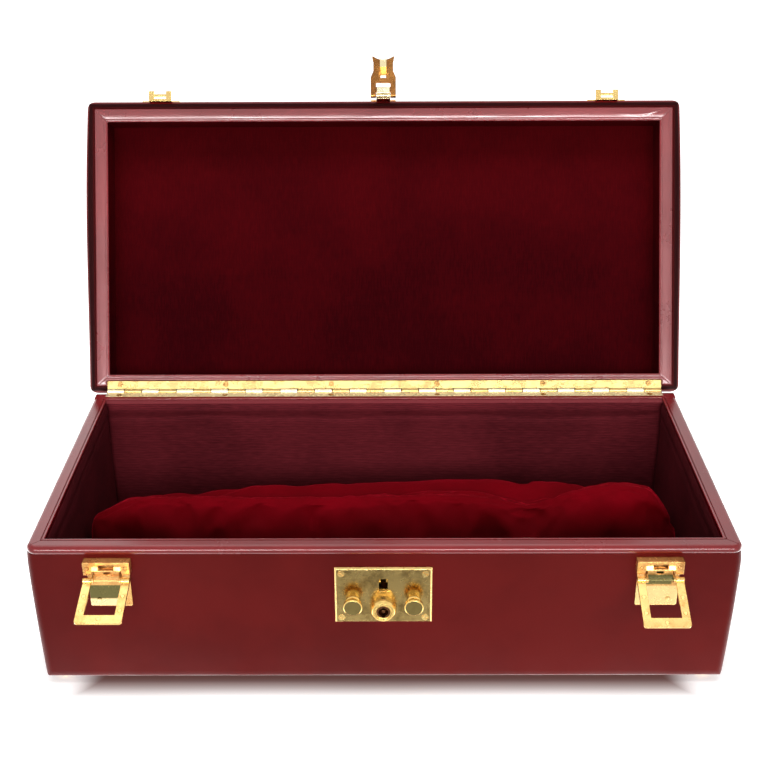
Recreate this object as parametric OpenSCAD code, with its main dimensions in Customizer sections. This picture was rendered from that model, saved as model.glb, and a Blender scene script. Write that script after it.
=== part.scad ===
/* [Case body] */
// Width of the body over the leather roll of its rim
case_w = 360; // [330:2:400]
// Depth of the body from the front of the roll to the hinge line
case_d = 176; // [160:2:200]
// Height of the body from its leather underside to the plane of its rim
body_h = 84; // [76:1:96]
// Thickness of the outer leather
leather_t = 1.2; // [1:0.1:1.6]
// Thickness of the wooden board of the front and side walls
board_t = 5; // [4.6:0.2:6]
// Thickness of the wooden board of the rear wall, which carries the hinge
rear_board_t = 7.9; // [7.5:0.1:9]
// Thickness of the cloth-covered lining panels
lining_t = 0.9; // [0.7:0.1:1.2]
// Rounding of the upright edges of the body
side_r = 4.5; // [3:0.5:8]
// Rounding of the lower edges of the body
low_r = 6; // [3:0.5:8]

/* [Rim] */
// Radius of the leather roll round the rim
roll_r = 2.6; // [2:0.1:3]
// How far the roll stands proud of the wall below it
roll_proud = 0.9; // [0.5:0.1:1.2]
// Thickness of the leather over the top of the board
rim_t = 1.2; // [1:0.1:1.5]
// Height of the leather lip that hangs inside the rim
lip_h = 3.4; // [2.5:0.1:5]
// Width of the crease beside the inner edge of the rim
crease_w = 0.6; // [0.4:0.1:0.8]
// Rounding of the rear edges beside the hinge
rear_r = 4.5; // [4:0.1:5]

/* [Lid] */
// How far the lid overhangs the body at the front and sides
lid_over = 4.7; // [3:0.1:5]
// How far the lid reaches past the hinge line
lid_back = 1.3; // [1:0.1:1.5]
// Outside height of the lid
lid_h = 30; // [28:1:40]
// Depth of the lined recess in the lid
recess_h = 21.5; // [18:0.5:22]
// Rounding of the upright corners of the lid
lid_corner_r = 6; // [5:0.5:8]
// Rounding of the top edges of the lid
lid_top_r = 6; // [5:0.5:8]
// Rounding of the lower edges of the lid
lid_edge_r = 4.5; // [4:0.1:4.6]
// Gap between the rims of the closed case
rim_gap = 0.4; // [0.3:0.1:0.6]
// Angle by which the lid stands open, from closed
lid_open = 114.5; // [100:0.5:114.5]

/* [Piano hinge] */
// Distance of each end of the piano hinge from the sides of the body
hinge_in = 7; // [7:0.5:20]
// Number of knuckles, both leaves together
knuckles = 32; // [16:2:36]
// Outside radius of a knuckle
knuckle_r = 1.25; // [1.1:0.05:1.3]
// Gap between neighbouring knuckles of the hinge
knuckle_gap = 0.5; // [0.2:0.05:0.6]
// Radius of the hinge pin
hinge_pin_r = 0.6; // [0.5:0.05:0.7]
// Thickness of a hinge leaf
leaf_t = 0.8; // [0.6:0.1:0.9]
// Width of the body's leaf, from its edge to the hinge line
body_leaf_w = 7; // [6.5:0.1:7.5]
// Width of the lid's leaf, from its edge to the hinge line
lid_leaf_w = 6.4; // [6:0.1:7]
// Screws in each leaf
leaf_screws = 6; // [4:1:8]
// Head radius of a hinge screw
leaf_screw_r = 1.7; // [1.4:0.1:1.8]

/* [Lock] */
// Width of the lock plate
plate_w = 49.6; // [47:0.2:56]
// Height of the lock plate
plate_h = 33.5; // [33:0.5:38]
// Thickness of the lock plate
plate_t = 1.5; // [1.2:0.1:1.8]
// Depth of the top of the lock plate below the rim
plate_drop = 12.2; // [11.8:0.2:14]
// Width of the staple slot
slot_w = 4.6; // [4.4:0.1:5]
// Height of the staple slot
slot_h = 7.3; // [7:0.1:7.6]
// Depth of the middle of the slot below the rim
slot_drop = 22.4; // [22:0.1:22.8]
// Depth of the middle of the key barrel below the rim
barrel_drop = 34.8; // [34.5:0.1:36]
// Radius of the foot of the key barrel
barrel_r = 6.9; // [6.5:0.1:7]
// Radius of the face of the key barrel
barrel_face_r = 4.9; // [4.7:0.1:5.1]
// How far the key barrel stands out of the plate
barrel_out = 6.5; // [5.5:0.1:7]
// Radius of the turning key plug
plug_r = 3.5; // [3.3:0.1:3.6]
// Distance of each push button from the middle
button_x = 15.5; // [15:0.1:15.8]
// Depth of the buttons below the rim
button_drop = 31; // [30.5:0.1:31.5]
// Radius of a button's cap
cap_r = 4.8; // [4.5:0.1:5]
// Thickness of a button's cap
cap_t = 2.4; // [2:0.1:2.8]
// How far a button stands out of the plate
button_out = 8; // [7.5:0.1:9]
// Travel of a button
button_travel = 2; // [1.5:0.1:2]

/* [Hasp] */
// Length of the hasp from its pin to the middle of its hollow tip
hasp_l = 22.8; // [22.5:0.1:23.2]
// Width across the legs of the hasp
hasp_w = 15.5; // [15:0.1:16.5]
// Width of the neck of the hasp
hasp_neck_w = 12.2; // [11.5:0.1:13]
// Width across the horns of the hasp
hasp_tip_w = 13.8; // [13:0.1:14.5]
// Thickness of the hasp's cover plate
hasp_t = 1.2; // [1:0.1:1.4]
// Depth of the hasp's pin below the lid's rim
hasp_pin_drop = 4.6; // [4.3:0.1:4.9]
// Radius of the pins of the hasp and latches
pin_r = 0.6; // [0.5:0.05:0.7]

/* [Side latches] */
// Distance of the middle of each latch from the side of the body
latch_in = 41; // [32:1:50]
// Width of a latch
latch_w = 23.4; // [22:0.2:26]
// Depth of the top of a latch below the rim
latch_drop = 6.6; // [6.4:0.1:7]
// Height of a latch's base plate
latch_h = 28.6; // [27:0.1:30]
// Depth of the latch's pin below the rim
latch_pin_drop = 15.9; // [15.6:0.1:16.2]
// How far the latch's pin stands out from the wall
latch_pin_out = 6.6; // [6.5:0.1:6.8]
// Length of a latch frame from its pin
frame_l = 26.5; // [26:0.1:28]
// Width of a latch frame's side bars
bar_w = 4.1; // [3.8:0.1:4.3]
// Width of a latch frame's end bar
end_bar_w = 5; // [4:0.5:5.5]
// Thickness of a latch frame
frame_t = 1.3; // [1.1:0.1:1.4]
// Angle of the left frame below level, as it stands out
left_droop = 15; // [5:1:40]
// Angle of the right frame below level, as it stands out
right_droop = 24; // [5:1:40]
// Width of the bracket of a keeper
keeper_w = 14; // [12:0.1:14.4]
// How far the bracket of a keeper stands out from its plate
keeper_out = 6.2; // [5.4:0.1:6.6]

/* [Velvet pad] */
// Gap between each end of the pad and the side lining
pad_end = 4; // [2:1:20]
// Depth of the pad from front to back
pad_d = 58; // [50:1:70]
// Height of the pad at its front ridge
pad_h = 56; // [50:1:60]
// Distance of the pad's front from the front lining
pad_front = 64; // [50:1:80]

/* [Feet] */
// Height of a foot
foot_h = 2; // [1.5:0.1:3]
// Radius of a foot
foot_r = 2.6; // [2:0.1:4]
// Distance of a foot's middle from the wall faces
foot_in = 9; // [8.5:0.5:14]

/* [Hidden] */

LEATHER = "#6e2226";
VELVET = "#7d0a1e";
LINING = "#4f1820";
WOOD = "#b08a5c";
BRASS = "#d9a441";
DULL_BRASS = "#a8935a";

// Running clearance of a pin in its bore, and play between parts that only pass each other
run_c = 0.05;
play = 0.15;
round_fn = 64;
small_fn = 32;
far = 1000;

// Heights and faces of the body; z = 0 is the plane that the feet stand on
base_z = foot_h;
board_top_z = base_z + leather_t + board_t;
rim_z = base_z + body_h;
front_y = -case_d / 2;
hinge_y = case_d / 2;
hinge_z = rim_z + rim_gap / 2;
cover_front_y = front_y + roll_proud;
cover_w = case_w - 2 * roll_proud;
cover_d = hinge_y - cover_front_y;
cover_mid_y = (hinge_y + cover_front_y) / 2;
wall_in = roll_proud + leather_t + board_t + lining_t;
rear_in = leather_t + rear_board_t + lining_t;
inner_w = case_w - 2 * wall_in;
inner_front_y = front_y + wall_in;
inner_back_y = hinge_y - rear_in;
inner_d = inner_back_y - inner_front_y;
inner_mid_y = (inner_back_y + inner_front_y) / 2;
floor_z = board_top_z + lining_t;
corner_r = side_r + roll_proud;
roll_h = roll_r + sqrt(pow(roll_r, 2) - pow(roll_r - roll_proud, 2));

// Faces of the closed lid, which lies over the body's inner opening
lid_z = rim_z + rim_gap;
lid_top_z = lid_z + lid_h;
lid_w = case_w + 2 * lid_over;
lid_front_y = front_y - lid_over;
lid_back_y = hinge_y + lid_back;
lid_d = lid_back_y - lid_front_y;
lid_mid_y = (lid_back_y + lid_front_y) / 2;
lid_rim_w = wall_in;
lid_rim_back_w = min(rear_in, lid_back_y - lid_edge_r - inner_back_y);
recess_top_z = lid_z + recess_h;

// Piano hinge: its knuckles and the row of screws in each leaf
hinge_l = case_w - 2 * hinge_in;
knuckle_pitch = hinge_l / knuckles;
leaf_screw_end = 8;
leaf_screw_pitch = (hinge_l - 2 * leaf_screw_end) / (leaf_screws - 1);
leaf_screw_off = 1.2;
leaf_screw_l = 5.4;
body_screw_y = hinge_y - body_leaf_w / 2 - leaf_screw_off;
lid_screw_y = hinge_y - lid_leaf_w / 2 - leaf_screw_off;
pilot_l = leaf_screw_l + 0.2;
screw_slot_w = 0.4;
screw_slot_t = 0.35;

// Lock
plate_back_y = cover_front_y;
plate_front_y = plate_back_y - plate_t;
plate_top_z = rim_z - plate_drop;
plate_mid_z = plate_top_z - plate_h / 2;
slot_z = rim_z - slot_drop;
barrel_z = rim_z - barrel_drop;
button_z = rim_z - button_drop;
plate_bevel = 0.9;
plate_screw_r = 1.8;
plate_shank_r = 1;
plate_screw_in = 3.4;
plate_screw_l = 6.1;
head_flat_t = 0.2;
head_cone_t = 0.9;
head_out = 0.15;
lock_wall = 0.8;
lock_w = 2 * (button_x + 5);
lock_top_z = slot_z + slot_h / 2 + 2.4;
lock_low_z = barrel_z - 6.6;
lock_h = lock_top_z - lock_low_z;
lock_back_y = inner_front_y - lining_t - 0.1;
lock_in_y = lock_back_y - lock_wall;
stem_r = 2.6;
tip_r = 0.9;
cone_start_y = plate_back_y + 0.7;
cone_end_y = cone_start_y + stem_r - tip_r;
tip_end_y = lock_in_y - button_travel - 0.25;
collar_r = 3.7;
collar_t = button_out - cap_t - button_travel - play;
catch_t = 0.9;
catch_y = cone_end_y + 0.1;
catch_ratio = 0.9;
catch_travel = button_travel * catch_ratio;

// Hasp, drawn as it hangs when it is closed
hasp_pin_y = lid_front_y - 1.9;
hasp_pin_z = lid_z - hasp_pin_drop;
hasp_eye_r = 1.5;
hasp_out_y = hasp_pin_y - hasp_eye_r;
hasp_rail_w = 3.3;
hasp_leaf_t = 0.9;
hasp_leaf_h = 9;
hasp_rail_t = 2.2;
staple_w = slot_w - 0.7;
staple_h = slot_h - 1.1;
staple_tip_y = catch_y + catch_t + 1.1;
// The under side of the staple follows this radius about the pin, to swing clear of its slot
staple_swing_r = norm([plate_front_y - hasp_pin_y, hasp_pin_z - slot_z + slot_h / 2 - play]);
hasp_window_l = 7.3;
hasp_fill_l = 5.3;
hasp_notch_w = 3.4;
hasp_notch_low = 12;
hasp_notch_top = 10.4;
hasp_shoulder = 10.8;
hasp_neck = 14.6;
hasp_horn = hasp_l + 1.2;
hasp_flare_l = 4.5;
hasp_tip_r = 10;
hasp_hollow = 0.8;
hasp_rivet_x = 5.2;

// Side latches
latch_x = case_w / 2 - latch_in;
latch_top_z = rim_z - latch_drop;
latch_pin_z = rim_z - latch_pin_drop;
latch_pin_y = cover_front_y - latch_pin_out;
latch_plate_t = 1;
latch_eye_r = 1.5;
latch_strap_out = 4.8;
latch_sheet = 1;
latch_strap_h = 4.3;
latch_slot_w = 7.6;
latch_slot_low = 4;
latch_slot_top = 1.6;
latch_corner = 0.6;
latch_plate_w = latch_w - 2.2;
latch_lip_out = 0.9;
latch_lip_z = 2.2;
latch_screw_drop = 3.3;
latch_ear_w = 1.2;
latch_rivet_x = 6;
latch_rivet_up = 4;
ear_in = latch_w / 2 - bar_w - play;
spring_w = 2 * (ear_in - latch_ear_w);
spring_t = 0.8;
spring_out = 4.2;
spring_low = 0.9;
spring_top = 6;
spring_slot_low = 1.6;
spring_slot_top = 4;
spring_slot_w = 3.6;
rivet_r = 0.7;
rivet_head_r = 1.15;
rivet_rows = [0.37, 0.71];
frame_corner_r = 1.5;
keeper_t = 0.7;
keeper_z = lid_z + lid_edge_r + 0.2;
keeper_h = 10.5;
// The bracket stands inside the window of the raised frame, clear of the end bar's path
keeper_bracket_h = 3.4;
keeper_top_z = latch_pin_z + sqrt(pow(frame_l - end_bar_w - play, 2)
    - pow(latch_pin_y - lid_front_y + keeper_out, 2));
keeper_slot_w = 7.4;
keeper_slot_in = 1.4;
keeper_slot_out = 2.9;
keeper_bar_out = 4.3;

// Velvet pad
pad_l = inner_w - 2 * pad_end;
pad_stations = 36;
pad_points = 24;
pad_tops = 18;
pad_waist = 0.25 * pad_h;
pad_low_z = floor_z + 0.3;
pad_mid_y = inner_front_y + pad_front + pad_d / 2;

// Mitre creases of the leather at the corners of the rims
mitre_w = 0.3;
mitre_t = 0.35;

// A rectangle with different roundings at its lower and upper corners, standing on the axis
module soft_rect(w, h, low, high) {
    union() {
        for (s = [-1, 1]) {
            translate([s * (w / 2 - low), low]) circle(low, $fn = round_fn);
            translate([s * (w / 2 - high), h - high]) circle(high, $fn = round_fn);
        }
        translate([-w / 2, low]) square([w, h - low - high]);
        translate([low - w / 2, 0]) square([w - 2 * low, h / 2]);
        translate([high - w / 2, h / 2]) square([w - 2 * high, h / 2]);
    }
}

// A block with rounded upright, lower and upper edges, its underside on z = 0
module soft_block(w, d, h, side, low, high) {
    intersection() {
        linear_extrude(h) translate([0, -d / 2]) soft_rect(w, d, side, side);
        translate([0, d / 2 + 1, 0]) rotate([90, 0, 0]) linear_extrude(d + 2) soft_rect(w, h, low, high);
        translate([-w / 2 - 1, 0, 0]) rotate([90, 0, 90]) linear_extrude(w + 2) soft_rect(d, h, low, high);
    }
}

// A plain block centred across x, from y0 to y1 and z0 to z1
module slab(w, y0, y1, z0, z1) {
    translate([-w / 2, y0, z0]) cube([w, y1 - y0, z1 - z0]);
}

// A cylinder along x, centred on x = 0
module bar_x(r, l, fn = small_fn) {
    rotate([0, 90, 0]) cylinder(r = r, h = l, center = true, $fn = fn);
}

// A cylinder along y that starts at y = 0 and runs back into the case
module peg_y(r, l, r2 = -1, fn = small_fn) {
    rotate([-90, 0, 0]) cylinder(r1 = r, r2 = r2 < 0 ? r : r2, h = l, $fn = fn);
}

// Puts what is drawn closed into the open lid
module on_lid() {
    translate([0, hinge_y, hinge_z]) rotate([-lid_open, 0, 0]) translate([0, -hinge_y, -hinge_z]) children();
}

// Puts what is drawn hanging down from the hasp's pin into the raised hasp
module on_hasp() {
    on_lid() translate([0, hasp_pin_y, hasp_pin_z]) rotate([-90, 0, 0])
        translate([0, -hasp_pin_y, -hasp_pin_z]) children();
}

// The round of the rear edge of the body's rim, which clears the turning lid
module rear_edge_room() {
    translate([-far / 2, hinge_y - rear_r, rim_z - rear_r]) difference() {
        cube([far, 2 * rear_r, 2 * rear_r]);
        rotate([0, 90, 0]) cylinder(r = rear_r, h = far, $fn = round_fn);
    }
}

// The groove that the knuckles lie in
module knuckle_room() {
    translate([0, hinge_y, hinge_z]) bar_x(knuckle_r + 2 * play, hinge_l + 2 * play);
}

// Places of the screws along a leaf
module along_leaf() {
    for (i = [0 : leaf_screws - 1])
        translate([(i - (leaf_screws - 1) / 2) * leaf_screw_pitch, 0, 0]) children();
}

// The whole leather form of the body, up to the crease under the roll
module body_form(inset = 0, top = 0) {
    intersection() {
        translate([0, cover_mid_y, base_z + inset])
            soft_block(cover_w - 2 * inset, cover_d - 2 * inset, body_h + 2 * low_r,
                side_r - inset, low_r - inset, low_r - inset);
        slab(far, -far / 2, far / 2, -1, top);
    }
}

// The room for the lock in the front wall
module lock_room(clear = 0) {
    slab(lock_w + 2 * clear, plate_back_y - 1, lock_back_y + clear, lock_low_z - clear, lock_top_z + clear);
}

module body_carcass() {
    color(WOOD) difference() {
        body_form(leather_t, rim_z - rim_t);
        slab(inner_w + 2 * lining_t, inner_front_y - lining_t, inner_back_y + lining_t, board_top_z, far);
        rear_edge_inset();
        knuckle_room();
        lock_room(play);
        body_leaf_pilots();
        plate_corners() translate([0, plate_front_y, 0]) plate_screw_room();
    }
}

// The rear edge room drawn smaller by the leather, so that the board keeps its cover
module rear_edge_inset() {
    translate([0, -leather_t, -leather_t]) rear_edge_room();
}

module body_leaf_pilots() {
    translate([0, body_screw_y, rim_z - pilot_l]) along_leaf()
        cylinder(r = leaf_screw_r / 2 + run_c, h = 2 * pilot_l, $fn = small_fn);
}

module body_cover() {
    color(LEATHER) difference() {
        body_form(0, rim_z - roll_h);
        body_form(leather_t, far);
        lock_room(play);
        plate_corners() translate([0, plate_front_y, 0]) plate_screw_room();
    }
}

// Section of the body's rim: x runs inwards from the face of the roll, y is height about the rim
module rim_section() {
    difference() {
        union() {
            translate([roll_r, -roll_r]) circle(roll_r, $fn = round_fn);
            translate([roll_r, -rim_t]) square([wall_in - roll_r, rim_t]);
            translate([wall_in - lining_t, -lip_h]) square([lining_t, lip_h]);
        }
        translate([roll_proud + leather_t, -3 * roll_r])
            square([board_t, 3 * roll_r - rim_t]);
        translate([-1, -3 * roll_r]) square([roll_proud + leather_t + 2, 3 * roll_r - roll_h]);
        translate([wall_in - lining_t - crease_w, -rim_t / 2]) square([crease_w, rim_t]);
    }
}

// A straight run of the rim along y, on the left side, mitred at its front end
module rim_side() {
    intersection() {
        translate([-case_w / 2, hinge_y, rim_z]) rotate([90, 0, 0]) linear_extrude(case_d) rim_section();
        translate([-case_w / 2, front_y, 0]) linear_extrude(far) polygon([[0, corner_r],
            [corner_r, corner_r], [2 * wall_in, 2 * wall_in], [2 * wall_in, case_d], [0, case_d]]);
    }
}

// The front run of the rim, mitred at both ends
module rim_front() {
    intersection() {
        translate([-case_w / 2, front_y, rim_z]) rotate([90, 0, 90]) linear_extrude(case_w) rim_section();
        translate([-case_w / 2, front_y, 0]) linear_extrude(far) polygon([[corner_r, 0],
            [case_w - corner_r, 0], [case_w - corner_r, corner_r],
            [case_w - 2 * wall_in, 2 * wall_in], [2 * wall_in, 2 * wall_in], [corner_r, corner_r]]);
    }
}

// The roll turning round the left front corner
module rim_corner() {
    translate([corner_r - case_w / 2, front_y + corner_r, rim_z]) rotate([0, 0, 180])
        rotate_extrude(angle = 90, $fn = round_fn) intersection() {
            translate([corner_r, 0]) mirror([1, 0]) rim_section();
            translate([0, -far]) square([far, 2 * far]);
        }
}

// The rear run of the rim: a leather band with a rounded rear edge, flush with the wall below
module rim_rear() {
    difference() {
        slab(cover_w, inner_back_y, hinge_y, rim_z - roll_h, rim_z);
        slab(inner_w + 2 * board_t + 2 * lining_t, inner_back_y + lining_t, hinge_y - leather_t,
            rim_z - 2 * roll_h, rim_z - rim_t);
        slab(far, inner_back_y - 1, inner_back_y + lining_t, rim_z - 2 * roll_h, rim_z - lip_h);
        slab(inner_w, inner_back_y + lining_t, inner_back_y + lining_t + crease_w, rim_z - rim_t / 2, far);
    }
}

module body_rim() {
    color(LEATHER) difference() {
        intersection() {
            union() {
                rim_front();
                rim_side();
                mirror([1, 0, 0]) rim_side();
                rim_corner();
                mirror([1, 0, 0]) rim_corner();
                rim_rear();
            }
            translate([0, (front_y + hinge_y) / 2, 0])
                linear_extrude(far) translate([0, -case_d / 2])
                soft_rect(case_w, case_d, corner_r, side_r);
        }
        body_form_core();
        rear_edge_room();
        knuckle_room();
        slab(hinge_l + 2 * play, hinge_y - body_leaf_w - play, far, rim_z - leaf_t - play / 3, far);
        body_leaf_pilots();
        for (s = [-1, 1])
            translate([0, 0, rim_z]) mitre(s * inner_w / 2, inner_front_y, s * wall_in, -wall_in);
    }
}

// A crease from an inner corner of the rim, at x and y, out to its outer corner, on the plane z = 0
module mitre(x, y, dx, dy) {
    translate([x, y, 0]) rotate([0, 0, atan2(dy, dx)])
        translate([-mitre_w, -mitre_w / 2, -mitre_t]) cube([2 * norm([dx, dy]), mitre_w, 2 * mitre_t]);
}

// The board inside the rim, so that the leather never runs into it at the corners
module body_form_core() {
    difference() {
        body_form(leather_t, rim_z - rim_t);
        slab(inner_w + 2 * lining_t, inner_front_y - lining_t, inner_back_y + lining_t, -1, far);
        rear_edge_inset();
    }
}

module lining_floor() {
    color(LINING)
        slab(inner_w + 2 * lining_t, inner_front_y - lining_t, inner_back_y + lining_t,
            board_top_z, floor_z);
}

module lining_front() {
    color(LINING) slab(inner_w, inner_front_y - lining_t, inner_front_y, floor_z, rim_z - lip_h);
}

module lining_back() {
    color(LINING) slab(inner_w, inner_back_y, inner_back_y + lining_t, floor_z, rim_z - lip_h);
}

module lining_side() {
    translate([-inner_w / 2 - lining_t, inner_front_y - lining_t, floor_z])
        cube([lining_t, inner_d + 2 * lining_t, rim_z - lip_h - floor_z]);
}

module lining_left() {
    color(LINING) lining_side();
}

module lining_right() {
    color(LINING) mirror([1, 0, 0]) lining_side();
}

// A smooth swelling of width w about the place at
function swell(v, at, w) = exp(-pow((v - at) / w, 2));
// Fullness of the pad along its length: 1 in the middle, drawn in to its rounded ends
function pad_full(u) = pow(max(0, 1 - pow(abs(u), 7)), 1 / 3);
// Heights of the front and back ridges along the pad, as shares of its height
function pad_front_crest(u) = 1.01 + 0.14 * swell(u, 0.8, 0.13) - 0.1 * swell(u, 0.47, 0.1);
function pad_back_crest(u) = 0.86 + 0.07 * swell(u, 0.4, 0.35) - 0.06 * swell(u, -0.66, 0.07);
// Height over the section's depth s, from the front at -1 to the back at 1
function pad_top(s, u) = pow(pow(pad_front_crest(u) * swell(s, -0.56, 0.55), 4)
    + pow(pad_back_crest(u) * swell(s, 0.17, 0.8), 4), 1 / 4);
// How far a point at depth s stands away from the pad's widest place, the waist
function pad_round(s, p) = pow(max(0, 1 - pow(abs(s), p)), 1 / 3);
// One of the points round the pad's section, first over the top and then along the under side
function pad_point(u, k) =
    let (
        full = pad_full(u),
        over = k < pad_tops,
        s = over ? cos(180 * k / (pad_tops - 1))
            : cos(180 + 180 * (k - pad_tops + 1) / (pad_points - pad_tops + 1)),
        top_h = pad_h * pad_top(s, u) * (0.55 + 0.45 * full),
        z = over ? pad_waist + (top_h - pad_waist) * pad_round(s, 5) : pad_waist * (1 - pad_round(s, 9))
    )
    [u * pad_l / 2, pad_mid_y + s * full * pad_d / 2, pad_low_z + z];

module velvet_pad() {
    // Stations crowd towards the ends, where the form turns in
    us = [for (i = [0 : pad_stations - 1]) 0.999 * sin(180 * i / (pad_stations - 1) - 90)];
    rings = [for (u = us) for (k = [0 : pad_points - 1]) pad_point(u, k)];
    walls = [
        for (i = [0 : pad_stations - 2]) for (k = [0 : pad_points - 1])
            let (a = i * pad_points, b = a + pad_points, n = (k + 1) % pad_points)
            for (tri = [[a + k, a + n, b + k], [a + n, b + n, b + k]]) tri
    ];
    caps = [
        for (k = [1 : pad_points - 2]) for (tri = [
            [0, k + 1, k],
            [0, k, k + 1] + (pad_stations - 1) * pad_points * [1, 1, 1]
        ]) tri
    ];
    color(VELVET) polyhedron(points = rings, faces = [for (f = concat(walls, caps)) [f[2], f[1], f[0]]]);
}

module feet() {
    color(BRASS)
        for (sx = [-1, 1]) for (y = [cover_front_y + foot_in, hinge_y - foot_in])
            translate([sx * (cover_w / 2 - foot_in), y, base_z]) mirror([0, 0, 1]) foot();
}

// A domed stud with a small flat to stand on
module foot() {
    ball_r = (pow(foot_r, 2) + pow(foot_h, 2)) / (2 * foot_h);
    intersection() {
        translate([0, 0, 1.12 * foot_h - ball_r]) sphere(ball_r, $fn = small_fn);
        cylinder(r = 2 * foot_r, h = foot_h, $fn = small_fn);
    }
}

// One leaf of the piano hinge, lying flat below the hinge line, with its share of the knuckles
module hinge_leaf(w, first) {
    difference() {
        union() {
            slab(hinge_l, -w, -knuckle_r - 2 * play, -leaf_t, 0);
            for (i = [first : 2 : knuckles - 1])
                translate([(i + 0.5) * knuckle_pitch - hinge_l / 2, 0, 0]) {
                    slab(knuckle_pitch - knuckle_gap, -knuckle_r - 3 * play, 0, -leaf_t, 0);
                    translate([0, 0, rim_gap / 2]) bar_x(knuckle_r, knuckle_pitch - knuckle_gap);
                }
        }
        translate([0, 0, rim_gap / 2]) bar_x(hinge_pin_r + run_c, far);
        translate([0, -w / 2 - leaf_screw_off, 0]) along_leaf() countersink();
    }
}

// The cone that a screw's head sits in, open at z = 0
module countersink() {
    translate([0, 0, -leaf_t - 1]) cylinder(r = leaf_screw_r / 2 + run_c, h = leaf_t + 2, $fn = small_fn);
    translate([0, 0, -leaf_t]) cylinder(r1 = leaf_screw_r / 2 + run_c, r2 = leaf_screw_r + run_c,
        h = leaf_t, $fn = small_fn);
    translate([0, 0, -0.001]) cylinder(r = leaf_screw_r + run_c, h = 1, $fn = small_fn);
}

// A slotted countersunk wood screw, its head flush with z = 0
module wood_screw(head_r, head_t, l) {
    difference() {
        union() {
            translate([0, 0, -head_t]) cylinder(r1 = head_r / 2, r2 = head_r, h = head_t, $fn = small_fn);
            translate([0, 0, -l]) cylinder(r = head_r / 2, h = l - head_t, $fn = small_fn);
        }
        translate([-2 * head_r, -screw_slot_w / 2, -screw_slot_t])
            cube([4 * head_r, screw_slot_w, 2 * screw_slot_t]);
    }
}

module hinge_leaf_body() {
    color(BRASS) translate([0, hinge_y, rim_z]) hinge_leaf(body_leaf_w, 0);
}

module hinge_leaf_lid() {
    color(BRASS) on_lid() translate([0, hinge_y, lid_z]) mirror([0, 0, 1]) hinge_leaf(lid_leaf_w, 1);
}

module hinge_pin() {
    color(BRASS) translate([0, hinge_y, hinge_z]) bar_x(hinge_pin_r, hinge_l);
}

module hinge_screws_body() {
    color(BRASS) translate([0, body_screw_y, rim_z]) along_leaf()
        wood_screw(leaf_screw_r, leaf_t, leaf_screw_l);
}

module hinge_screws_lid() {
    color(BRASS) on_lid() translate([0, lid_screw_y, lid_z]) mirror([0, 0, 1])
        along_leaf() wood_screw(leaf_screw_r, leaf_t, leaf_screw_l);
}

// The outline of the lock plate's corners, where its screws are
module plate_corners() {
    for (sx = [-1, 1]) for (sz = [-1, 1])
        translate([sx * (plate_w / 2 - plate_screw_in), 0,
            plate_mid_z + sz * (plate_h / 2 - plate_screw_in)]) children();
}

// The places of the two buttons
module at_buttons() {
    for (s = [-1, 1]) translate([s * button_x, 0, button_z]) children();
}

module lock_plate() {
    b = plate_bevel;
    color(DULL_BRASS) difference() {
        intersection() {
            slab(plate_w, plate_front_y, plate_back_y, plate_top_z - plate_h, plate_top_z);
            translate([0, 0, plate_top_z - plate_h - 1]) linear_extrude(plate_h + 2)
                polygon([[-plate_w / 2, plate_back_y], [-plate_w / 2, plate_front_y + b],
                    [b - plate_w / 2, plate_front_y], [plate_w / 2 - b, plate_front_y],
                    [plate_w / 2, plate_front_y + b], [plate_w / 2, plate_back_y]]);
            translate([-plate_w, 0, 0]) rotate([90, 0, 90]) linear_extrude(2 * plate_w)
                polygon([[plate_back_y, plate_top_z], [plate_front_y + b, plate_top_z],
                    [plate_front_y, plate_top_z - b], [plate_front_y, plate_top_z - plate_h + b],
                    [plate_front_y + b, plate_top_z - plate_h], [plate_back_y, plate_top_z - plate_h]]);
        }
        slab(slot_w, plate_front_y - 1, plate_back_y + 1, slot_z - slot_h / 2, slot_z + slot_h / 2);
        at_buttons() translate([0, plate_front_y - 1, 0]) peg_y(stem_r + run_c, plate_t + 2);
        translate([0, plate_front_y - 1, barrel_z]) peg_y(plug_r + run_c, plate_t + 2);
        plate_corners() translate([0, plate_front_y, 0]) plate_screw_room();
    }
}

// A lock plate screw's countersink, open at the front
module plate_screw_room() {
    translate([0, -plate_t, 0]) peg_y(plate_screw_r + run_c, plate_t + head_flat_t);
    translate([0, head_flat_t - 0.001, 0])
        peg_y(plate_screw_r + run_c, head_cone_t, plate_shank_r + run_c);
    peg_y(plate_shank_r + run_c, plate_screw_l + 2);
}

module lock_plate_screws() {
    color(BRASS) plate_corners() translate([0, plate_front_y, 0]) difference() {
        union() {
            translate([0, -head_out, 0]) peg_y(plate_screw_r, head_out + head_flat_t);
            translate([0, head_flat_t, 0]) peg_y(plate_screw_r, head_cone_t, plate_shank_r);
            translate([0, head_flat_t + head_cone_t, 0])
                peg_y(plate_shank_r, plate_screw_l - head_flat_t - head_cone_t);
        }
        rotate([0, 35, 0])
            slab(3 * plate_screw_r, -plate_t, screw_slot_t, -screw_slot_w / 2, screw_slot_w / 2);
    }
}

// The open-fronted brass box behind the plate that holds the works
module lock_case() {
    color(BRASS) difference() {
        slab(lock_w, plate_back_y, lock_back_y, lock_low_z, lock_top_z);
        slab(lock_w - 2 * lock_wall, plate_back_y - 1, lock_in_y, lock_low_z + lock_wall,
            lock_top_z - lock_wall);
    }
}

// The fixed domed barrel round the key plug
module key_barrel() {
    foot_t = 1.8;
    step = 15;
    lip_t = 0.5;
    color(BRASS) translate([0, plate_front_y, barrel_z]) rotate([90, 0, 0]) rotate_extrude($fn = round_fn)
        polygon(concat(
            [[plug_r + run_c, 0], [barrel_r, 0]],
            [for (a = [0 : step : 90]) [barrel_face_r + (barrel_r - barrel_face_r) * cos(a),
                foot_t + (barrel_out - foot_t) * sin(a)]],
            [[barrel_face_r - 0.6, barrel_out], [barrel_face_r - 0.9, barrel_out - lip_t],
                [plug_r + run_c, barrel_out - lip_t]]
        ));
}

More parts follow.
